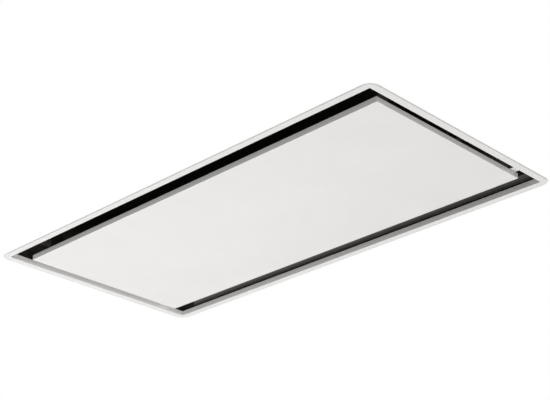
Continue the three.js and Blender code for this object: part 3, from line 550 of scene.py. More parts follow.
# %% [markdown]
# Every piece goes through one function: it cleans the mesh, rounds the edges that are sharper
# than 30 degrees, sets smooth shading, and lets the piece ride on its body. Sheet metal never
# has a razor edge, and a rounded edge of half a millimetre is what catches a line of light. A
# piece that stands for a solid takes its place, so the solid isn't drawn as well.

# %% One function for every piece
SLOT_OF = dict.fromkeys(("liner_paint_and_shade", "matt_black_and_shade", "bracket_paint"), "black_paint")
SLOT_OF |= {"copper": "steel", "shade_dark_aluminium": "aluminium", "shade_dark_rim_aluminium": "aluminium"}


def rounded(bm, radius):
    sharp = radians(30)
    edges = [e for e in bm.edges if len(e.link_faces) == 2 and abs(e.calc_face_angle(0)) > sharp]
    how = {"offset_type": "OFFSET", "segments": 2, "profile": 0.5, "clamp_overlap": True}
    bmesh.ops.bevel(bm, geom=edges, offset=radius * MM, affect="EDGES", **how)


def make_piece(name, bm, finish, node=None, body=None, radius=None, tidy=True, angle=None):
    if tidy:
        bmesh.ops.remove_doubles(bm, verts=bm.verts, dist=1e-6)
    bmesh.ops.recalc_face_normals(bm, faces=bm.faces)
    if radius:
        rounded(bm, radius)
    mesh = bpy.data.meshes.new(name)
    bm.to_mesh(mesh)
    bm.free()
    mesh.materials.append(FINISH[finish])
    mesh.shade_smooth()
    mesh.set_sharp_from_angle(angle=radians(angle or (50 if radius else 28)))
    made = bpy.data.objects.new(name, mesh)
    bpy.context.scene.collection.objects.link(made)
    if radius:
        flat = made.modifiers.new("flat_faces", "WEIGHTED_NORMAL")
        flat.keep_sharp = True
        flat.weight = 100
    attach(made, body or BODY_OF.get(node, "casing"))
    if node:
        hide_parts(node)
    return made


print("one function makes every piece")

# %% [markdown]
# Most pieces are folded or cut sheet, and their CAD solids have the right shape. What a solid
# lacks is the rounding at folds and cut edges, so each is copied, cleaned and rounded by about as
# much as its sheet allows, in millimetres. They could be drawn again from their sizes, but then a
# fold might drift away from its solid.

# %% Sheet pieces
CORNERS = [side + "_" + end for side in ("front", "back") for end in ("left", "right")]
ENDS = {"left": -1, "right": 1}
FILTERS = (1, 2, 3)
WALLS_OF_CASING = ["casing_wall_" + side for side in ("front", "back", "left", "right")]
SHEETS = (
    ("white_powder_coat", 0.2, ["trim_frame"]),
    ("white_powder_coat", 0.22, ["panel_tray"]),
    ("liner_paint_and_shade", 0.3, ["intake_liner"]),
    ("foam", 0.5, ["frame_seal"]),
    ("matt_black_and_shade", 0.4, ["filter_deck"]),
    ("galvanised", 0.35, WALLS_OF_CASING + ["casing_top"]),
    ("galvanised", 0.35, ["scroll_inlet_cheek", "scroll_motor_cheek"]),
    ("galvanised", 0.4, ["electric_box", "electric_box_lid"]),
    ("black_plastic", 0.3, ["flap_back", "flap_front"]),
    ("zinc_plated", 0.3, ["corner_angle_" + corner for corner in CORNERS]),
    ("zinc_plated", 0.7, ["suspension_bracket_" + corner for corner in CORNERS]),
    ("galvanised", 0.35, ["panel_stiffener_" + end for end in ENDS]),
    ("zinc_plated", 0.6, ["panel_hinge_bracket_" + end for end in ENDS]),
    ("zinc_plated", 0.5, ["strike_plate_" + end for end in ENDS]),
    ("bracket_paint", 0.5, ["catch_bracket_" + end for end in ENDS]),
    ("shade_dark_rim_aluminium", 0.4, [f"filter_frame_{i}" for i in FILTERS]),
)
every_sheet = [(node, radius, finish) for finish, radius, nodes in SHEETS for node in nodes]
for node, radius, finish in every_sheet:
    bm = bmesh.new()
    bm.from_mesh(NODES[node].data)
    bmesh.ops.remove_doubles(bm, verts=bm.verts, dist=1e-6)
    flat = radians(0.5)
    bmesh.ops.dissolve_limit(bm, angle_limit=flat, verts=bm.verts, edges=bm.edges)
    make_piece(node + "_sheet", bm, finish, node, radius=radius, tidy=False)
print(len(every_sheet), "sheet pieces rounded")

# %% [markdown]
# Some sheets are painted on one side only: the casing's walls and the deck's rim are black
# inside, so that nothing shines in the gap, and that paint carries painted light and shade too.
# The panel's end walls have their own coat: the tab beside them throws light back, and painted
# shade keeps the wall there as grey as the rest of it. The hinge tabs' undersides and the lip's
# left side are whiter, which is painted light. The lip's far side is greyer toward the right and
# the flange's cut edge is grey, which is painted shade. A mesh can hold several materials, and
# each face keeps the number of the one it wears. Which faces look outward is told from the hood's
# middle, with Y doubled because it is half as wide as it is long. Two pieces, one for each side,
# would show a seam at every hole and edge.

# %% Paint on single faces
WALL_X, WALL_Y, LIP_X, PANEL_END = 0.48, 0.23, 0.4853, 0.465
FLANGE_BACK, TAB_LOW, LIP_TOP = 1.1 * MM, 5 * MM, 11 * MM


def repaint(node, finish, wanted):
    mesh = bpy.data.objects[node + "_sheet"].data
    mesh.materials.append(FINISH[finish])
    faces = [face for face in mesh.polygons if wanted(face.normal, *face.center)]
    for face in faces:
        face.material_index = len(mesh.materials) - 1
    return len(faces)


def turned_out(normal, x, y):
    return normal.dot(Vector((x, 2 * y, 0)).normalized())


def faces_inward(normal, x, y, z):
    return turned_out(normal, x, y) < -0.6 and (abs(x) > WALL_X or abs(y) > WALL_Y)


def at_panel_end(normal, x, y, z):
    return abs(normal.x) > 0.9 and abs(x) > PANEL_END


def under_tab_or_left_lip(normal, x, y, z):
    under_tab = normal.z < -0.9 and z > TAB_LOW and abs(x) < LIP_X
    left_lip = normal.x > 0.9 and x < -WALL_X and z < LIP_TOP
    return under_tab or left_lip


def on_cut_edge(normal, x, y, z):
    return turned_out(normal, x, y) > 0.2 and z < FLANGE_BACK


def on_far_lip(normal, x, y, z):
    return normal.y < -0.9 and y > WALL_Y and z < LIP_TOP


painted = repaint("filter_deck", "wall_paint_light_and_shade", faces_inward)
for wall in WALLS_OF_CASING:
    painted += repaint(wall, "wall_paint_light_and_shade", faces_inward)
# Painted light on the tabs' undersides and the lip's left side. Painted shade on the flange's cut
# edge, the lip's far side and the panel's end walls.
painted += repaint("trim_frame", "painted_light_white", under_tab_or_left_lip)
painted += repaint("trim_frame", "edge_shade_coat", on_cut_edge)
painted += repaint("trim_frame", "lip_shade_coat", on_far_lip)
painted += repaint("panel_tray", "end_shade_coat", at_panel_end)
print(painted, "faces have a paint of their own")

# %% [markdown]
# The rest is drawn from its measures. Round things are turned, as on a lathe: an outline of
# (radius, height) points runs round the local Z axis. A third number gives a ring that many flat
# sides, as a hexagon has. The place says where the piece sits and which way it faces. A screw
# modifier would turn an outline too, but not one that is round in one ring and six-sided in the
# next.

# %% Turned shapes
def at(x, y, z, facing="+Z"):
    axis = {"X": (1, 0, 0), "Y": (0, 1, 0), "Z": (0, 0, 1)}[facing[1]]
    outward = Vector(axis) * (1 if facing[0] == "+" else -1)
    turn = outward.to_track_quat("Z", "Y").to_matrix().to_4x4()
    return Matrix.Translation((x * MM, y * MM, z * MM)) @ turn


def turn_outline(bm, outline, place, sides):
    rings = []
    for radius, height, *flat in outline:
        if radius < 1e-6:
            rings.append([point(bm, 0, 0, height, place)])
            continue
        ring = []
        for i in range(sides):
            a = 2 * pi * i / sides
            r = radius
            if flat:
                step = 2 * pi / flat[0]
                r = radius / cos((a % step) - step / 2)
            ring.append(point(bm, r * cos(a), r * sin(a), height, place))
        rings.append(ring)
    for low, high in zip(rings, rings[1:]):
        band(bm, low, high)


def turned(name, outline, place, sides, finish, **more):
    bm = bmesh.new()
    turn_outline(bm, outline, place, sides)
    return make_piece(name, bm, finish, **more)


print("round shapes can be turned")

# %% [markdown]
# Straight things are blocks, or slabs: a flat outline that is drawn out from one height to
# another, and often repeated round an axis. A block's corners are numbered 0 to 7, and each face
# is written as four of them. Measures start from the box of the solid that a piece stands for, so
# it moves along when its solid does. The same shapes could be pulled out by hand, but a list of
# measures can be read and changed.

# %% Straight shapes
def box_of(node):
    return tuple(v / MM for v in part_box(node))


def standing(x, y, z, long, wide, tall):
    return (x - long / 2, y - wide / 2, z), (x + long / 2, y + wide / 2, z + tall)


def blocks(name, boxes, finish, node=None, **more):
    bm = bmesh.new()
    for low, high in boxes:
        corners = [
            point(bm, x, y, z)
            for x in (low[0], high[0]) for y in (low[1], high[1]) for z in (low[2], high[2])
        ]
        for face in ("0132", "4675", "0451", "2376", "0264", "1573"):
            bm.faces.new([corners[int(i)] for i in face])
    return make_piece(name, bm, finish, node, **more)


def slab(bm, outline, low, high, place):
    ends = [[point(bm, x, y, height, place) for x, y in outline] for height in (low, high)]
    bm.faces.new(ends[0][::-1])
    bm.faces.new(ends[1])
    band(bm, *ends)


def slabs_round(bm, outline, low, high, place, count):
    for k in range(count):
        turn = Matrix.Rotation(2 * pi * k / count, 4, "Z")
        slab(bm, outline, low, high, place @ turn)


print("blocks and slabs are ready")

# %% [markdown]
# A screw head is a shape turned about its own axis, with a six-sided hole for the key. Each row
# of screws is one mesh: the same head is added at every place, turned to face out of the sheet.
# A real cylinder with a picture of a hole would look flat as soon as light falls from the side.

# %% Screws and rivets
SCREW = (
    (1, 0), (1.02, 0.06), (1, 0.22), (0.86, 0.44), (0.62, 0.56), (0.46, 0.58), (0.4, 0.55, 6),
    (0.38, 0.12, 6), (0, 0.1),
)
RIVET = ((1, 0), (1, 0.1), (0.85, 0.28), (0.5, 0.42), (0.34, 0.44), (0.3, 0.3), (0, 0.26))


def screw_head(bm, place, size):
    outline = [(size * r, size * h, *flat) for r, h, *flat in SCREW]
    turn_outline(bm, [(0, -0.3, 6), (size * 0.5, -0.3), *outline], place, 24)


def rivet_head(bm, place, size):
    outline = [(0, -0.2), *((size * r, size * h) for r, h in RIVET)]
    turn_outline(bm, outline, place, 20)


def heads(name, places, make=screw_head, size=4.0, finish="zinc_plated", body="casing"):
    bm = bmesh.new()
    for place in places:
        make(bm, place, size)
    return make_piece(name, bm, finish, body=body, tidy=False)


def spots(xs, ys, zs, facing="+Z"):
    return [at(x, y, z, facing) for x in xs for y in ys for z in zs]


print("screw and rivet are ready")

# %% [markdown]
# The casing's top lies on the folded edges of the walls and is screwed down all round. The long
# walls wrap the end walls and are riveted to them near the corners. The row of rivets that runs
# round all four walls holds the filter deck. A list of places for each row is easier to change
# than screws that were copied by hand.

# %% Screws and rivets of the casing
TOP, DECK = 300.0, 64.5
WALLS = {"-Y": -240.5, "+Y": 240.5}
END_WALLS = {"-X": -489.9, "+X": 489.9}
top_screws = spots((-440, -340, -220, -110, 110, 220, 340, 440), (-231.5, 231.5), (TOP,))
top_screws += spots((-481, 481), (-130, 0, 130), (TOP,))
heads("casing_top_screws", top_screws)
rivet_rows = []
for facing, y in WALLS.items():
    rivet_rows += spots((-483.5, 483.5), (y,), (40, 100, 160, 220, 275), facing)
    rivet_rows += spots((-400, -240, -80, 80, 240, 400), (y,), (DECK,), facing)
for facing, x in END_WALLS.items():
    rivet_rows += spots((x,), (-150, 0, 150), (DECK,), facing)
heads("casing_rivets", rivet_rows, rivet_head, 3.2, "aluminium")
print(len(top_screws), "screws and", len(rivet_rows), "rivets")

# %% [markdown]
# Long flat sheet drums when a fan runs, so real casings have beads pressed into it: low ridges
# with round ends that stiffen it. A bead is a stack of rings, each narrower and higher than the
# last, that follow half a cosine wave, as pressed sheet does. The bead beside the cable gland is
# shorter, to leave it room. Pushing up a fine grid would do it as well, with many times the
# faces.

# %% Pressed beads
def bead(bm, place, length, width, rise):
    half, radius = length / 2 - width / 2, width / 2
    steps, around = 5, 12
    rings = []
    for k in range(steps + 1):
        reach = radius * (1 - k / steps)
        lift = rise * 0.5 * (1 - cos(pi * k / steps)) - 0.05
        ring = []
        for side in (1, -1):
            for i in range(around + 1):
                a = pi * (i / around - 0.5)
                x = side * (half + reach * cos(a))
                y = side * reach * sin(a)
                ring.append(point(bm, x, y, lift, place))
        rings.append(ring)
    for low, high in zip(rings, rings[1:]):
        band(bm, low, high)


bm = bmesh.new()
for place in spots((-245, 245), (-60, 60, 150), (TOP,)) + [at(-245, -150, TOP)]:
    bead(bm, place, 270, 16, 3.4)
bead(bm, at(225, -150, TOP), 230, 16, 3.4)
for facing, y in WALLS.items():
    for place in spots((-245, 245), (y,), (120, 180, 240), facing):
        bead(bm, place, 420, 14, 2.6)
for facing, x in END_WALLS.items():
    for place in spots((x,), (0,), (120, 180, 240), facing):
        bead(bm, place, 400, 14, 2.6)
make_piece("casing_beads", bm, "galvanised")
print("beads 3.4 mm high on the top and 2.6 mm on the walls")

# %% [markdown]
# Four brackets carry the hood on threaded rods from the floor above. Each foot is bolted to the
# casing with two bolts, washer under head. Head and washer are one turned outline, because nobody
# can see between them.

# %% Bracket bolts
def bolt_head(bm, place, size):
    top = 1.0 + 1.3 * size
    outline = [(0, -0.2), (size * 1.7, 0), (size * 1.7, 0.9), (size * 1.1, 1.0), (size, 1.0, 6)]
    outline += [(size, 1.0 + 1.1 * size, 6), (size * 0.82, top), (0, top)]
    turn_outline(bm, outline, place, 36)


FIT, FOOT_SHEET = 0.3, 2.0
foot_top = box_of("casing_top")[1].z + FIT + FOOT_SHEET
bolts = spots((-429.9, -409.9, 409.9, 429.9), (-178, 178), (foot_top,))
heads("bracket_bolts", bolts, bolt_head, 4.2)
print(len(bolts), "bolts")

# %% [markdown]
# The outlet collar is a moulded ring: a flange that is screwed to the casing, a socket with a
# bead that holds the duct's clamp, and a seat inside for the flaps. One outline turned about the
# collar's axis makes it, where a stack of cylinders would show seams.

# %% Outlet collar
def on_circle(radius, count):
    angles = [2 * pi * (k + 0.5) / count for k in range(count)]
    return [(radius * cos(a), radius * sin(a)) for a in angles]


outline = [
    (73.6, 300.35), (94.0, 300.35), (94.5, 300.6), (94.5, 300.95), (94.1, 301.25),
    (78.5, 301.3), (76.2, 301.6), (74.9, 302.8), (74.45, 305.0), (74.4, 343.0), (73.9, 345.2),
    (73.9, 346.2), (74.4, 348.4), (74.4, 357.0), (73.9, 359.2), (73.6, 359.9), (73.4, 359.9),
    (73.1, 359.2), (73.1, 303.6), (72.7, 303.1), (69.3, 303.0), (69.0, 302.7), (69.0, 301.8),
    (69.3, 301.5), (73.1, 301.4), (73.6, 300.35),
]
turned("outlet_socket", outline, AS_DRAWN, 96, "black_plastic", node="outlet_collar")
heads("collar_screws", [at(x, y, 301.3) for x, y in on_circle(84.8, 4)], screw_head, 3.4)
print("outlet collar turned")

# %% [markdown]
# The cable gland is a nut that squeezes a rubber sleeve: a six-sided collar, a ribbed dome and a
# bore with the sleeve's edge showing in it. The ribs are slabs that reach into the dome. Cutting
# grooves between them would look the same, but a cut leaves faces that shade badly.

# %% Cable gland
gland_low, gland_high = box_of("cable_gland")
gland_middle = (gland_low + gland_high) / 2
gland_base = at(gland_middle.x, gland_middle.y, TOP)
outline = [
    (4.6, -6.9), (7.7, -6.9), (7.9, -6.5), (7.9, 0.3), (10.3, 0.35, 6), (10.35, 0.8, 6),
    (10.35, 4.9, 6), (10.1, 5.3, 6), (9.6, 5.3), (9.5, 6.2), (9.0, 12.0), (8.0, 15.2),
    (6.3, 17.0), (5.6, 17.2), (5.0, 16.6), (4.8, 15.0), (4.6, -6.9),
]
bm = bmesh.new()
turn_outline(bm, outline, gland_base, 48)
rib = [(8.6, -0.45), (9.75, -0.35), (9.75, 0.35), (8.6, 0.45)]
slabs_round(bm, rib, 6.0, 11.5, gland_base, 14)
make_piece("gland_nut", bm, "grey_plastic", "cable_gland", tidy=False)
outline = [(4.1, -6.0), (4.7, -6.2), (4.75, 15.6), (5.2, 16.3), (4.9, 16.7), (4.4, 16.4)]
outline += [(4.1, 15.4), (4.1, -6.0)]
turned("gland_sleeve", outline, gland_base, 32, "rubber")
print("gland at", [round(v, 1) for v in gland_middle])

# %% [markdown]
# A grease filter is a rim of rolled aluminium round layers of expanded metal: sheet that was slit
# and pulled into diamonds, so it is one zigzag strand bonded to the next. The strands are made as
# thin bent ribbons, row by row, each half a diamond out of step with the last. A plane with a
# picture of holes would be lighter, but flat as soon as a filter tilts.

# %% Expanded metal
def strand_layer(bm, low, high, height, pitch, thick, phase, tilt=0.3):
    rows = int((high.y - low.y) / pitch[1])
    columns = int((high.x - low.x) / pitch[0]) * 2
    step = (high.x - low.x) / columns
    rise = (high.y - low.y) / rows
    for row in range(rows):
        middle = low.y + (row + 0.5) * rise
        previous = None
        for column in range(columns + 1):
            swing = (column + row + phase) % 2 * 2 - 1
            x = low.x + column * step
            y = middle + swing * (rise / 2 - thick * 0.45)
            z = height + swing * tilt
            corners = ((-thick, -0.22), (thick, -0.1), (thick, 0.22), (-thick, 0.1))
            ribbon = [point(bm, x, y + b, z + c) for b, c in corners]
            if previous:
                band(bm, ribbon, previous)
            previous = ribbon


print("a layer of expanded metal can be drawn")

# %% [markdown]
# Three layers lie on each other, the middle one finer and out of step, so that no drop of grease
# finds a straight way through. They are one mesh, which the other two filters share: objects can
# use one mesh together, and so they take hardly any memory of their own.

# %% Filter meshes
LAYERS = ((0.75, 0.45, (7.5, 4.0)), (2.95, 0.4, (5.5, 3.0)), (5.15, 0.45, (7.5, 4.0)))
mesh_low, mesh_high = box_of("filter_mesh_2")
bm = bmesh.new()
for n, (lift, thick, pitch) in enumerate(LAYERS):
    strand_layer(bm, mesh_low, mesh_high, mesh_low.z + lift, pitch, thick, n)
strands = make_piece("filter_strands_2", bm, "shade_dark_aluminium", "filter_mesh_2", tidy=False)
for i in (1, 3):
    twin = bpy.data.objects.new(f"filter_strands_{i}", strands.data)
    twin.location.x = (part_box(f"filter_mesh_{i}")[0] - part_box("filter_mesh_2")[0]).x
    bpy.context.scene.collection.objects.link(twin)
    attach(twin, f"filter_{i}")
    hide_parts(f"filter_mesh_{i}")
print(len(strands.data.polygons), "faces of strand in one filter")

# %% [markdown]
# The rim's corners are folded over each other and held by a rivet each, seen from below. Only the
# rivets are made here, as the rim is a sheet piece that has been rounded already. Its tongues
# reach past it and its finger pull hangs below it, so its box alone doesn't tell where it ends.

# %% Filter rivets
RIM_DEPTH, PULL_DROP, RIVET_IN = 205, 3, 5
for i in FILTERS:
    low, high = box_of(f"filter_frame_{i}")
    xs = (low.x + RIVET_IN, high.x - RIVET_IN)
    ys = (low.y + RIVET_IN, low.y + RIM_DEPTH - RIVET_IN)
    corners = spots(xs, ys, (low.z + PULL_DROP,), "-Z")
    heads(f"filter_rivets_{i}", corners, rivet_head, 2.2, "steel", f"filter_{i}")
print("four rivets in each filter")

# %% [markdown]
# The fan is a drum wheel in a spiral housing. The wheel's blades are short arcs that lean
# forward, pressed from strip and held between a disc at the motor and an open ring at the mouth.
# Each blade is an arc of thin sheet, copied round the axis; a flat plate would move less air
# and look it.

# %% Fan wheel
wheel_low, wheel_high = box_of("fan_wheel")
AXIS = (wheel_low + wheel_high) / 2
AXIS.x = 0
WHEEL = (wheel_high.z - wheel_low.z) / 2
BLADES, ARC = 30, 7
on_axis = Matrix.Translation(AXIS * MM) @ Matrix.Rotation(pi / 2, 4, "Y")
disc = [
    (4.3, 33.2), (11.0, 33.0), (11.8, 33.6), (11.8, 42.0), (14.5, 43.2), (40.0, 43.4),
    (46.0, 41.8), (60.0, 41.8), (64.0, 43.3), (WHEEL - 0.8, 43.4), (WHEEL - 0.1, 43.9),
    (WHEEL - 0.3, 44.9), (60.5, 44.9), (46.0, 43.3), (40.0, 44.9), (4.3, 44.9), (4.3, 33.2),
]
open_ring = [
    (64.2, -44.9), (WHEEL - 1.0, -44.9), (WHEEL - 0.2, -44.2), (WHEEL - 0.2, -42.4),
    (WHEEL - 1.2, -42.0), (WHEEL - 1.4, -43.2), (65.0, -43.4), (64.2, -44.0), (64.2, -44.9),
]
bm = bmesh.new()
turn_outline(bm, disc, on_axis, 72)
turn_outline(bm, open_ring, on_axis, 72)
outer, inner = [], []
for k in range(ARC + 1):
    share = k / ARC
    radius = 64.6 + 9.6 * share
    sweep = 0.16 * (share - 0.5) + 0.05 * sin(pi * share)
    x, y = radius * cos(sweep), radius * sin(sweep)
    outer.append((x, y + 0.35))
    inner.append((x, y - 0.35))
slabs_round(bm, outer + inner[::-1], -43.6, 43.6, on_axis, BLADES)
make_piece("fan_drum", bm, "galvanised", "fan_wheel")
print("wheel of", round(2 * WHEEL, 1), "mm with", BLADES, "blades")

# %% [markdown]
# The motor's shaft is turned steel, with a groove for a retaining ring. A set screw in the hub
# clamps the wheel on it. The groove is a part of the outline: cut out afterwards, it would need a
# second shape and clean edges.

# %% Shaft and hub
shaft_low, shaft_high = box_of("motor_shaft")
start, stop = shaft_low.x, shaft_high.x
outline = [
    (0, start), (3.4, start), (4, start + 0.6), (4, start + 3), (3.6, start + 3.2),
    (3.6, start + 4), (4, start + 4.2), (4, stop - 0.6), (3.4, stop), (0, stop),
]
turned("motor_shaft_turned", outline, on_axis, 32, "steel", node="motor_shaft")
heads("hub_set_screw", [on_axis @ at(11.8, 0, 37.5, "+X")], screw_head, 2.2, body="wheel")
print("shaft of", round(stop - start, 1), "mm")

# %% [markdown]
# The housing's wrap is one long strip, rolled to a spiral that grows from the tongue to the
# throat. The strip is drawn again here with four times as many steps as its solid, because a
# curve in sheet metal shows every flat. The formula is the same, so it fits the cheeks.

# %% Spiral wrap
TONGUE, LEAST, MOST, SHEET = 55.0, 84.0, 112.0, 1.2
wrap_low, wrap_high = box_of("scroll_wrap")


def spiral_outline(offset, steps):
    edge = LEAST * cos(radians(TONGUE)) - offset
    start = acos(edge / (LEAST + offset))
    throat_top = wrap_high.z - AXIS.z
    points = [(edge, throat_top)]
    for i in range(steps + 1):
        a = start + (2 * pi - start) * i / steps
        share = (degrees(a) - TONGUE) / (360 - TONGUE)
        radius = LEAST + (MOST - LEAST) * max(0, share) + offset
        points.append((radius * cos(a), radius * sin(a)))
    points.append((MOST + offset, throat_top))
    return points


inside, outside = spiral_outline(0.05, 96), spiral_outline(SHEET - 0.05, 96)
across_hood = Matrix(((0, 0, 1, 0), (1, 0, 0, 0), (0, 1, 0, 0), (0, 0, 0, 1)))
across_hood = Matrix.Translation(AXIS * MM) @ across_hood
bm = bmesh.new()
slab(bm, inside + outside[::-1], wrap_low.x, wrap_high.x, across_hood)
make_piece("scroll_strip", bm, "galvanised", "scroll_wrap", angle=20)
print("throat up to", round(wrap_high.z, 1), "mm")

# %% [markdown]
# The mouth of the housing is a drawn ring: its round lip leads the air in without a whistle. Six
# rivets hold it to the cheek, and screws hold both cheeks to the wrap, along the same spiral. The
# mouth could be a piece of torus on a tube, but one outline keeps the bend smooth.

# %% Inlet mouth and cheek screws
outline = [
    (56.0, -51.4), (57.1, -51.4), (57.2, -56.0), (57.8, -59.0), (59.4, -60.35),
    (69.4, -60.35), (69.9, -60.8), (69.4, -61.4), (61.0, -61.4), (58.6, -60.9), (57.0, -59.6),
    (56.2, -57.6), (56.0, -51.4),
]
turned("inlet_mouth", outline, on_axis, 72, "galvanised", node="inlet_ring")
circle = on_circle(65.6, 6)
rim = spiral_outline(3.6, 11)[1:-1]
for name, points, x, size, finish in (
    ("inlet_rivets", circle, -61.4, 1.9, "aluminium"),
    ("inlet_cheek_screws", rim, -60.0, 1.8, "zinc_plated"),
    ("motor_cheek_screws", rim, 60.0, 1.8, "zinc_plated"),
):
    facing = "+X" if x > 0 else "-X"
    places = [at(x, AXIS.y + y, AXIS.z + z, facing) for y, z in points]
    heads(name, places, rivet_head, size, finish)
print(len(circle), "rivets and", 2 * len(rim), "screws")

# %% [markdown]
# The motor is a deep-drawn can with grooves round it, ribs along its waist and a boss that
# reaches through the cheek to carry the bearing. The slots in its rear face let cooling air in.
# They are thin dark slabs on that face, whose black is painted shade for the inside of the slots,
# because real holes would show an empty can.

# %% Motor
motor_low, motor_high = box_of("motor_body")
front, rear = 67.6, motor_high.x
outline = [
    (4.4, 50.2), (17.5, 50.2), (19.4, 51.4), (19.8, 53.0), (19.8, front - 0.6),
    (21.0, front + 0.1), (42.0, front + 0.1), (44.6, front + 1.0), (45.8, front + 3.2),
    (45.8, front + 14.0), (44.4, front + 14.6), (44.4, front + 16.0), (45.8, front + 16.6),
    (45.8, rear - 17.0), (44.4, rear - 16.4), (44.4, rear - 15.0), (45.8, rear - 14.4),
    (45.8, rear - 5.0), (44.0, rear - 2.0), (40.5, rear - 0.8), (24.0, rear - 0.6),
    (22.0, rear - 2.4), (15.0, rear - 2.4), (12.5, rear - 0.2), (0, rear - 0.2), (0, 108.4),
    (4.4, 108.4), (4.4, 50.2),
]
rib = [(45.2, -1.1), (45.95, -0.7), (45.95, 0.7), (45.2, 1.1)]
slot = [(26.5, -1.3), (38, -1.9), (38.9, 0), (38, 1.9), (26.5, 1.3), (26, 0)]
can, vents = bmesh.new(), bmesh.new()
turn_outline(can, outline, on_axis, 64)
slabs_round(can, rib, front + 19, rear - 19.5, on_axis, 24)
slabs_round(vents, slot, rear - 0.9, rear - 0.45, on_axis, 16)
make_piece("motor_can", can, "galvanised", "motor_body", tidy=False)
make_piece("motor_vents", vents, "matt_black_and_shade", radius=0.12)
through = [on_axis @ at(x, y, rear - 0.9) for x, y in on_circle(41, 4)]
heads("motor_screws", through, screw_head, 1.9)
print("motor from", round(motor_low.x, 1), "to", round(motor_high.x, 1))

# %% [markdown]
# The motor hangs on three rubber bushes with a waist, so that its hum stays out of the sheet
# metal. The run capacitor beside it is a plastic can with a crimped edge. Their outlines are
# measured from their solids' boxes, so one outline fits all three bushes.

# %% Bushes and capacitor
def along_x(node):
    low, high = box_of(node)
    middle = (low + high) / 2
    return at(low.x, middle.y, middle.z, "+X"), (high.z - low.z) / 2, high.x - low.x


for k in (1, 2, 3):
    place, r, length = along_x(f"motor_bush_{k}")
    outline = [
        (0, 0), (r - 0.8, 0), (r, 0.8), (r, 0.34 * length), (r - 1.6, 0.42 * length),
        (r - 1.6, 0.58 * length), (r, 0.66 * length), (r, length - 0.8), (r - 0.8, length),
        (0, length),
    ]
    turned(f"motor_mount_{k}", outline, place, 36, "rubber", node=f"motor_bush_{k}")
place, r, length = along_x("run_capacitor")
outline = [
    (0, 0.8), (r - 3.0, 0.8), (r - 2.2, 0), (r - 0.8, 0), (r - 0.1, 0.8), (r - 0.1, length - 5),
    (r - 1.3, length - 4.2), (r - 1.3, length - 3.2), (r - 0.1, length - 2.4),
    (r - 0.1, length - 0.7), (r - 0.8, length), (0, length),
]
turned("capacitor_can", outline, place, 48, "grey_plastic", node="run_capacitor")
print("capacitor", round(length, 1), "mm long")

# %% [markdown]
# The electric box holds the control board: a card of 1.6 mm on four feet, with the parts that
# stand on it further down. The card could be one flat box from the box's floor up, but air must
# get under it.

# %% Control card
CARD, FEET, FEET_IN = 1.6, 9, 8
board_low, board_high = box_of("control_board")
face = board_low.z + FEET + CARD
middle_y = (board_low.y + board_high.y) / 2
card = ((board_low.x, board_low.y, face - CARD), (board_high.x, board_high.y, face))
blocks("control_card", [card], "circuit_board", "control_board", radius=0.2)
foot = [(0, 0), (3, 0), (3, 1), (2.6, 1.2), (2.6, FEET - 0.8), (3, FEET), (0, FEET)]
bm = bmesh.new()
xs = (board_low.x + FEET_IN, board_high.x - FEET_IN)
ys = (board_low.y + FEET_IN, board_high.y - FEET_IN)
for place in spots(xs, ys, (board_low.z,)):
    turn_outline(bm, foot, place, 18)
make_piece("card_feet", bm, "grey_plastic")
print("board box", [round(v, 1) for v in (*board_low, *board_high)])

# %% [markdown]
# The transformer is a stack of thin steel plates round a winding of copper wire. Each plate is a
# block with a gap of 0.2 mm to the next, and each turn of wire a thin slab with round ends. A
# solid core with painted lines would be lighter, but it has no edges to catch light.

# %% Transformer
core_x = board_low.x + 34
plates = [standing(core_x, middle_y, face + 2 + k * 1.7, 34, 28, 1.5) for k in range(11)]
blocks("transformer_core", plates, "steel", radius=0.15)
turn_of_wire = []
for i in range(28):
    a = 2 * pi * i / 28
    square = max(0.75, abs(sin(a)) ** 0.2)
    turn_of_wire.append((core_x + 10.35 * cos(a), middle_y + 16.6 * sin(a) / square))
bm = bmesh.new()
for k in range(14):
    z = face + 2.6 + k * 1.3
    slab(bm, turn_of_wire, z, z + 1.15, AS_DRAWN)
make_piece("transformer_winding", bm, "copper", radius=0.25)
print("transformer at x", round(core_x, 1))

# %% [markdown]
# Beside it stand two relays, three small capacitors in aluminium cans, and rows of small parts.
# The bobbin that holds the winding is black plastic, as the relays are, so they are one mesh.

# %% Relays and small parts
boxes = [standing(core_x, middle_y, face + z, 26, 34, 1.6) for z in (0.1, 21.5)]
boxes.append(standing(core_x, middle_y, face + 23.1, 30, 30, 4.5))
relay_x = (board_low.x + board_high.x) / 2 + (board_high.x - board_low.x) / 6
for y in (middle_y - 18, middle_y + 18):
    boxes.append(standing(relay_x, y, face + 0.1, 18, 18, 17.7))
blocks("relays_and_bobbin", boxes, "black_plastic", radius=0.5)
bm = bmesh.new()
for x, y, r, tall in ((-26, 18, 5, 14), (-26, 4, 5, 14), (-25, -14, 4, 10)):
    outline = [(0, 0), (r, 0.2), (r, 1.6), (r - 0.4, 2.1), (r, 2.6), (r, tall - 0.4)]
    outline += [(r - 0.5, tall), (0, tall - 0.1)]
    turn_outline(bm, outline, at(relay_x + x, middle_y + y, face), 24)
make_piece("board_capacitors", bm, "aluminium")
small = [
    standing(relay_x + 16 + 5 * column, middle_y - 20 + 16 * row, face, 2.4, 6, 2.2)
    for row in range(3) for column in range(3)
]
blocks("small_parts", small, "grey_plastic", radius=0.25)
print("relays at x", round(relay_x, 1))

# %% [markdown]
# The terminal block takes the wires: six moulded ways, one slanted mouth on each side, and a
# screw for each wire. The box's lid is held by six screws from below. Each way is the same slab,
# a little apart from the next, so that the joints show without being cut.

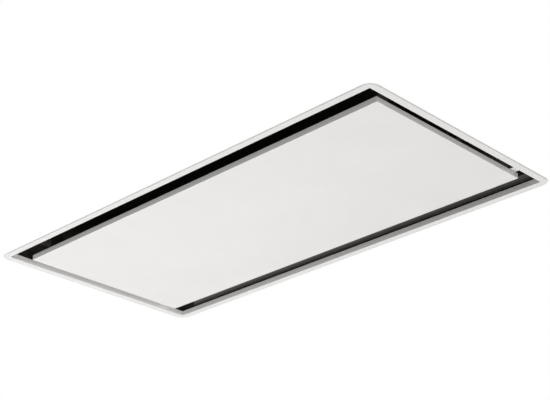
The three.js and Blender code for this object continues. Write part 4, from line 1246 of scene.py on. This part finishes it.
# %% Terminal block and lid screws
(x0, y0, z0), (x1, y1, z1) = box_of("terminal_block")
WAYS = 6
pitch = (y1 - y0) / WAYS
outline = [
    (x0, z0), (x1, z0), (x1, z0 + 7), (x1 - 3.5, z1 - 1), (x1 - 4.5, z1), (x0 + 4.5, z1),
    (x0 + 3.5, z1 - 1), (x0, z0 + 7),
]
turned_up = Matrix(((1, 0, 0, 0), (0, 0, 1, 0), (0, 1, 0, 0), (0, 0, 0, 1)))
bm = bmesh.new()
for k in range(WAYS):
    slab(bm, outline, y0 + k * pitch + 0.25, y0 + (k + 1) * pitch - 0.25, turned_up)
make_piece("terminal_strip", bm, "grey_plastic", "terminal_block", radius=0.3)
rows = [y0 + (k + 0.5) * pitch for k in range(WAYS)]
heads("terminal_screws", spots(((x0 + x1) / 2,), rows, (z1 - 0.9,)), screw_head, 2.0)
(x0, y0, z0), (x1, y1, z1) = box_of("electric_box_lid")
lid_spots = spots((x0 + 6, (x0 + x1) / 2, x1 - 6), (y0 + 6, y1 - 6), (z0,), "-Z")
heads("lid_screws", lid_spots, screw_head, 2.6)
print(WAYS, "ways and", len(lid_spots), "lid screws")

# %% [markdown]
# The panel swings on two steel pins with upset heads, pushed in from the middle of the hood. The
# non-return flaps turn on one long pin with plain chamfered ends. Cylinders would do for the
# shafts, but the heads show as soon as the panel hangs open.

# %% Pins
for end, side in ENDS.items():
    low, high = box_of("hinge_pin_" + end)
    length = high.x - low.x
    start, facing = (low.x, "+X") if side > 0 else (high.x, "-X")
    outline = [
        (0, 0), (4.2, 0), (5.0, 0.7), (5.0, 1.6), (4.6, 2.0), (3.2, 2.05), (3.2, length - 0.8),
        (2.4, length), (0, length),
    ]
    place = at(start, (low.y + high.y) / 2, (low.z + high.z) / 2, facing)
    name = "hinge_pin_upset_" + end
    turned(name, outline, place, 32, "steel", node="hinge_pin_" + end)
place, r, length = along_x("flap_pin")
outline = [(0, 0), (1.5, 0), (2, 0.5), (2, length - 0.5), (1.5, length), (0, length)]
turned("flap_pin_turned", outline, place, 24, "steel", node="flap_pin")
print("hinge pins and flap pin turned")

# %% [markdown]
# The panel's free edge is held by two magnets: a black housing with two steel pole plates that
# meet a folded strike on the panel's back. The filters have smaller ones of the same kind, held
# by two screws from above. Both are blocks in the box of their solid: the housing stops short of
# its underside, and the poles stand out of it and touch what they hold.

# %% Magnets
POLE = 2


def magnet(node, names, lift, radius, footprints):
    low, high = box_of(node)
    housing = ((low.x, low.y, low.z + lift), high)
    blocks(names[0], [housing], "black_plastic", node, radius=radius)
    poles = [((*a, low.z), (*b, low.z + POLE)) for a, b in footprints]
    blocks(names[1], poles, "steel", body=BODY_OF[node], radius=0.2)


for end in ENDS:
    node = "catch_magnet_" + end
    low, high = box_of(node)
    rows = (low.y + 7, high.y - 7)
    footprints = [((low.x + 2, y - 1.6), (high.x - 2, y + 1.6)) for y in rows]
    magnet(node, ("magnet_housing_" + end, "magnet_poles_" + end), 0.8, 0.8, footprints)
for i in FILTERS:
    node = f"filter_magnet_{i}"
    low, high = box_of(node)
    columns = (low.x + 12, high.x - 12)
    footprints = [((x - 1.5, high.y - 12), (x + 1.5, high.y - 1)) for x in columns]
    magnet(node, (f"filter_catch_{i}", f"filter_poles_{i}"), 0.7, 0.9, footprints)
    top = spots((low.x + 6, high.x - 6), (low.y + 8,), (high.z,))
    heads(f"filter_catch_screws_{i}", top, screw_head, 2.4, body=BODY_OF[node])
print(len(ENDS) + len(FILTERS), "magnets")

# %% [markdown]
# Nothing may show on the panel's face, so its fittings are riveted to studs on the back: four
# for each strike and each hinge bracket, and a double row along each stiffener. Rows of rivets
# are laid out from the box of the piece they hold.

# %% Rivets on the panel's back
for end, side in ENDS.items():
    low, high = box_of("strike_plate_" + end)
    middle_x = (low.x + high.x) / 2
    four = spots((middle_x - 9, middle_x + 9), (low.y + 4, high.y - 4), (low.z + 1.5,))
    heads("strike_rivets_" + end, four, rivet_head, 2.0, "steel", "panel")
    low, high = box_of("panel_hinge_bracket_" + end)
    inner = low.x if side > 0 else high.x
    ys = (low.y + 4.5, high.y - 4.5)
    four = spots((inner + side * 7, inner + side * 19), ys, (low.z + 2,))
    heads("hinge_rivets_" + end, four, rivet_head, 2.2, "steel", "panel")
    low, high = box_of("panel_stiffener_" + end)
    rows = spots((low.x + 6, high.x - 6), range(-170, 171, 68), (low.z + 1,))
    heads("stiffener_rivets_" + end, rows, rivet_head, 1.9, "aluminium", "panel")
print(len(rows), "rivets along each stiffener")

# %% [markdown]
# Last, any solid that has no piece of its own would still be drawn plain, so it is named here.
# The boxes of the solids and of the pieces are gathered at the end. The pieces have to stay
# within the solids' box.

# %% The end
for node, item in NODES.items():
    if not item.hide_render:
        print("still plain:", node)
boxes = {"cad": [list(v) for v in cad_box], "visual": [list(v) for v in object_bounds()]}
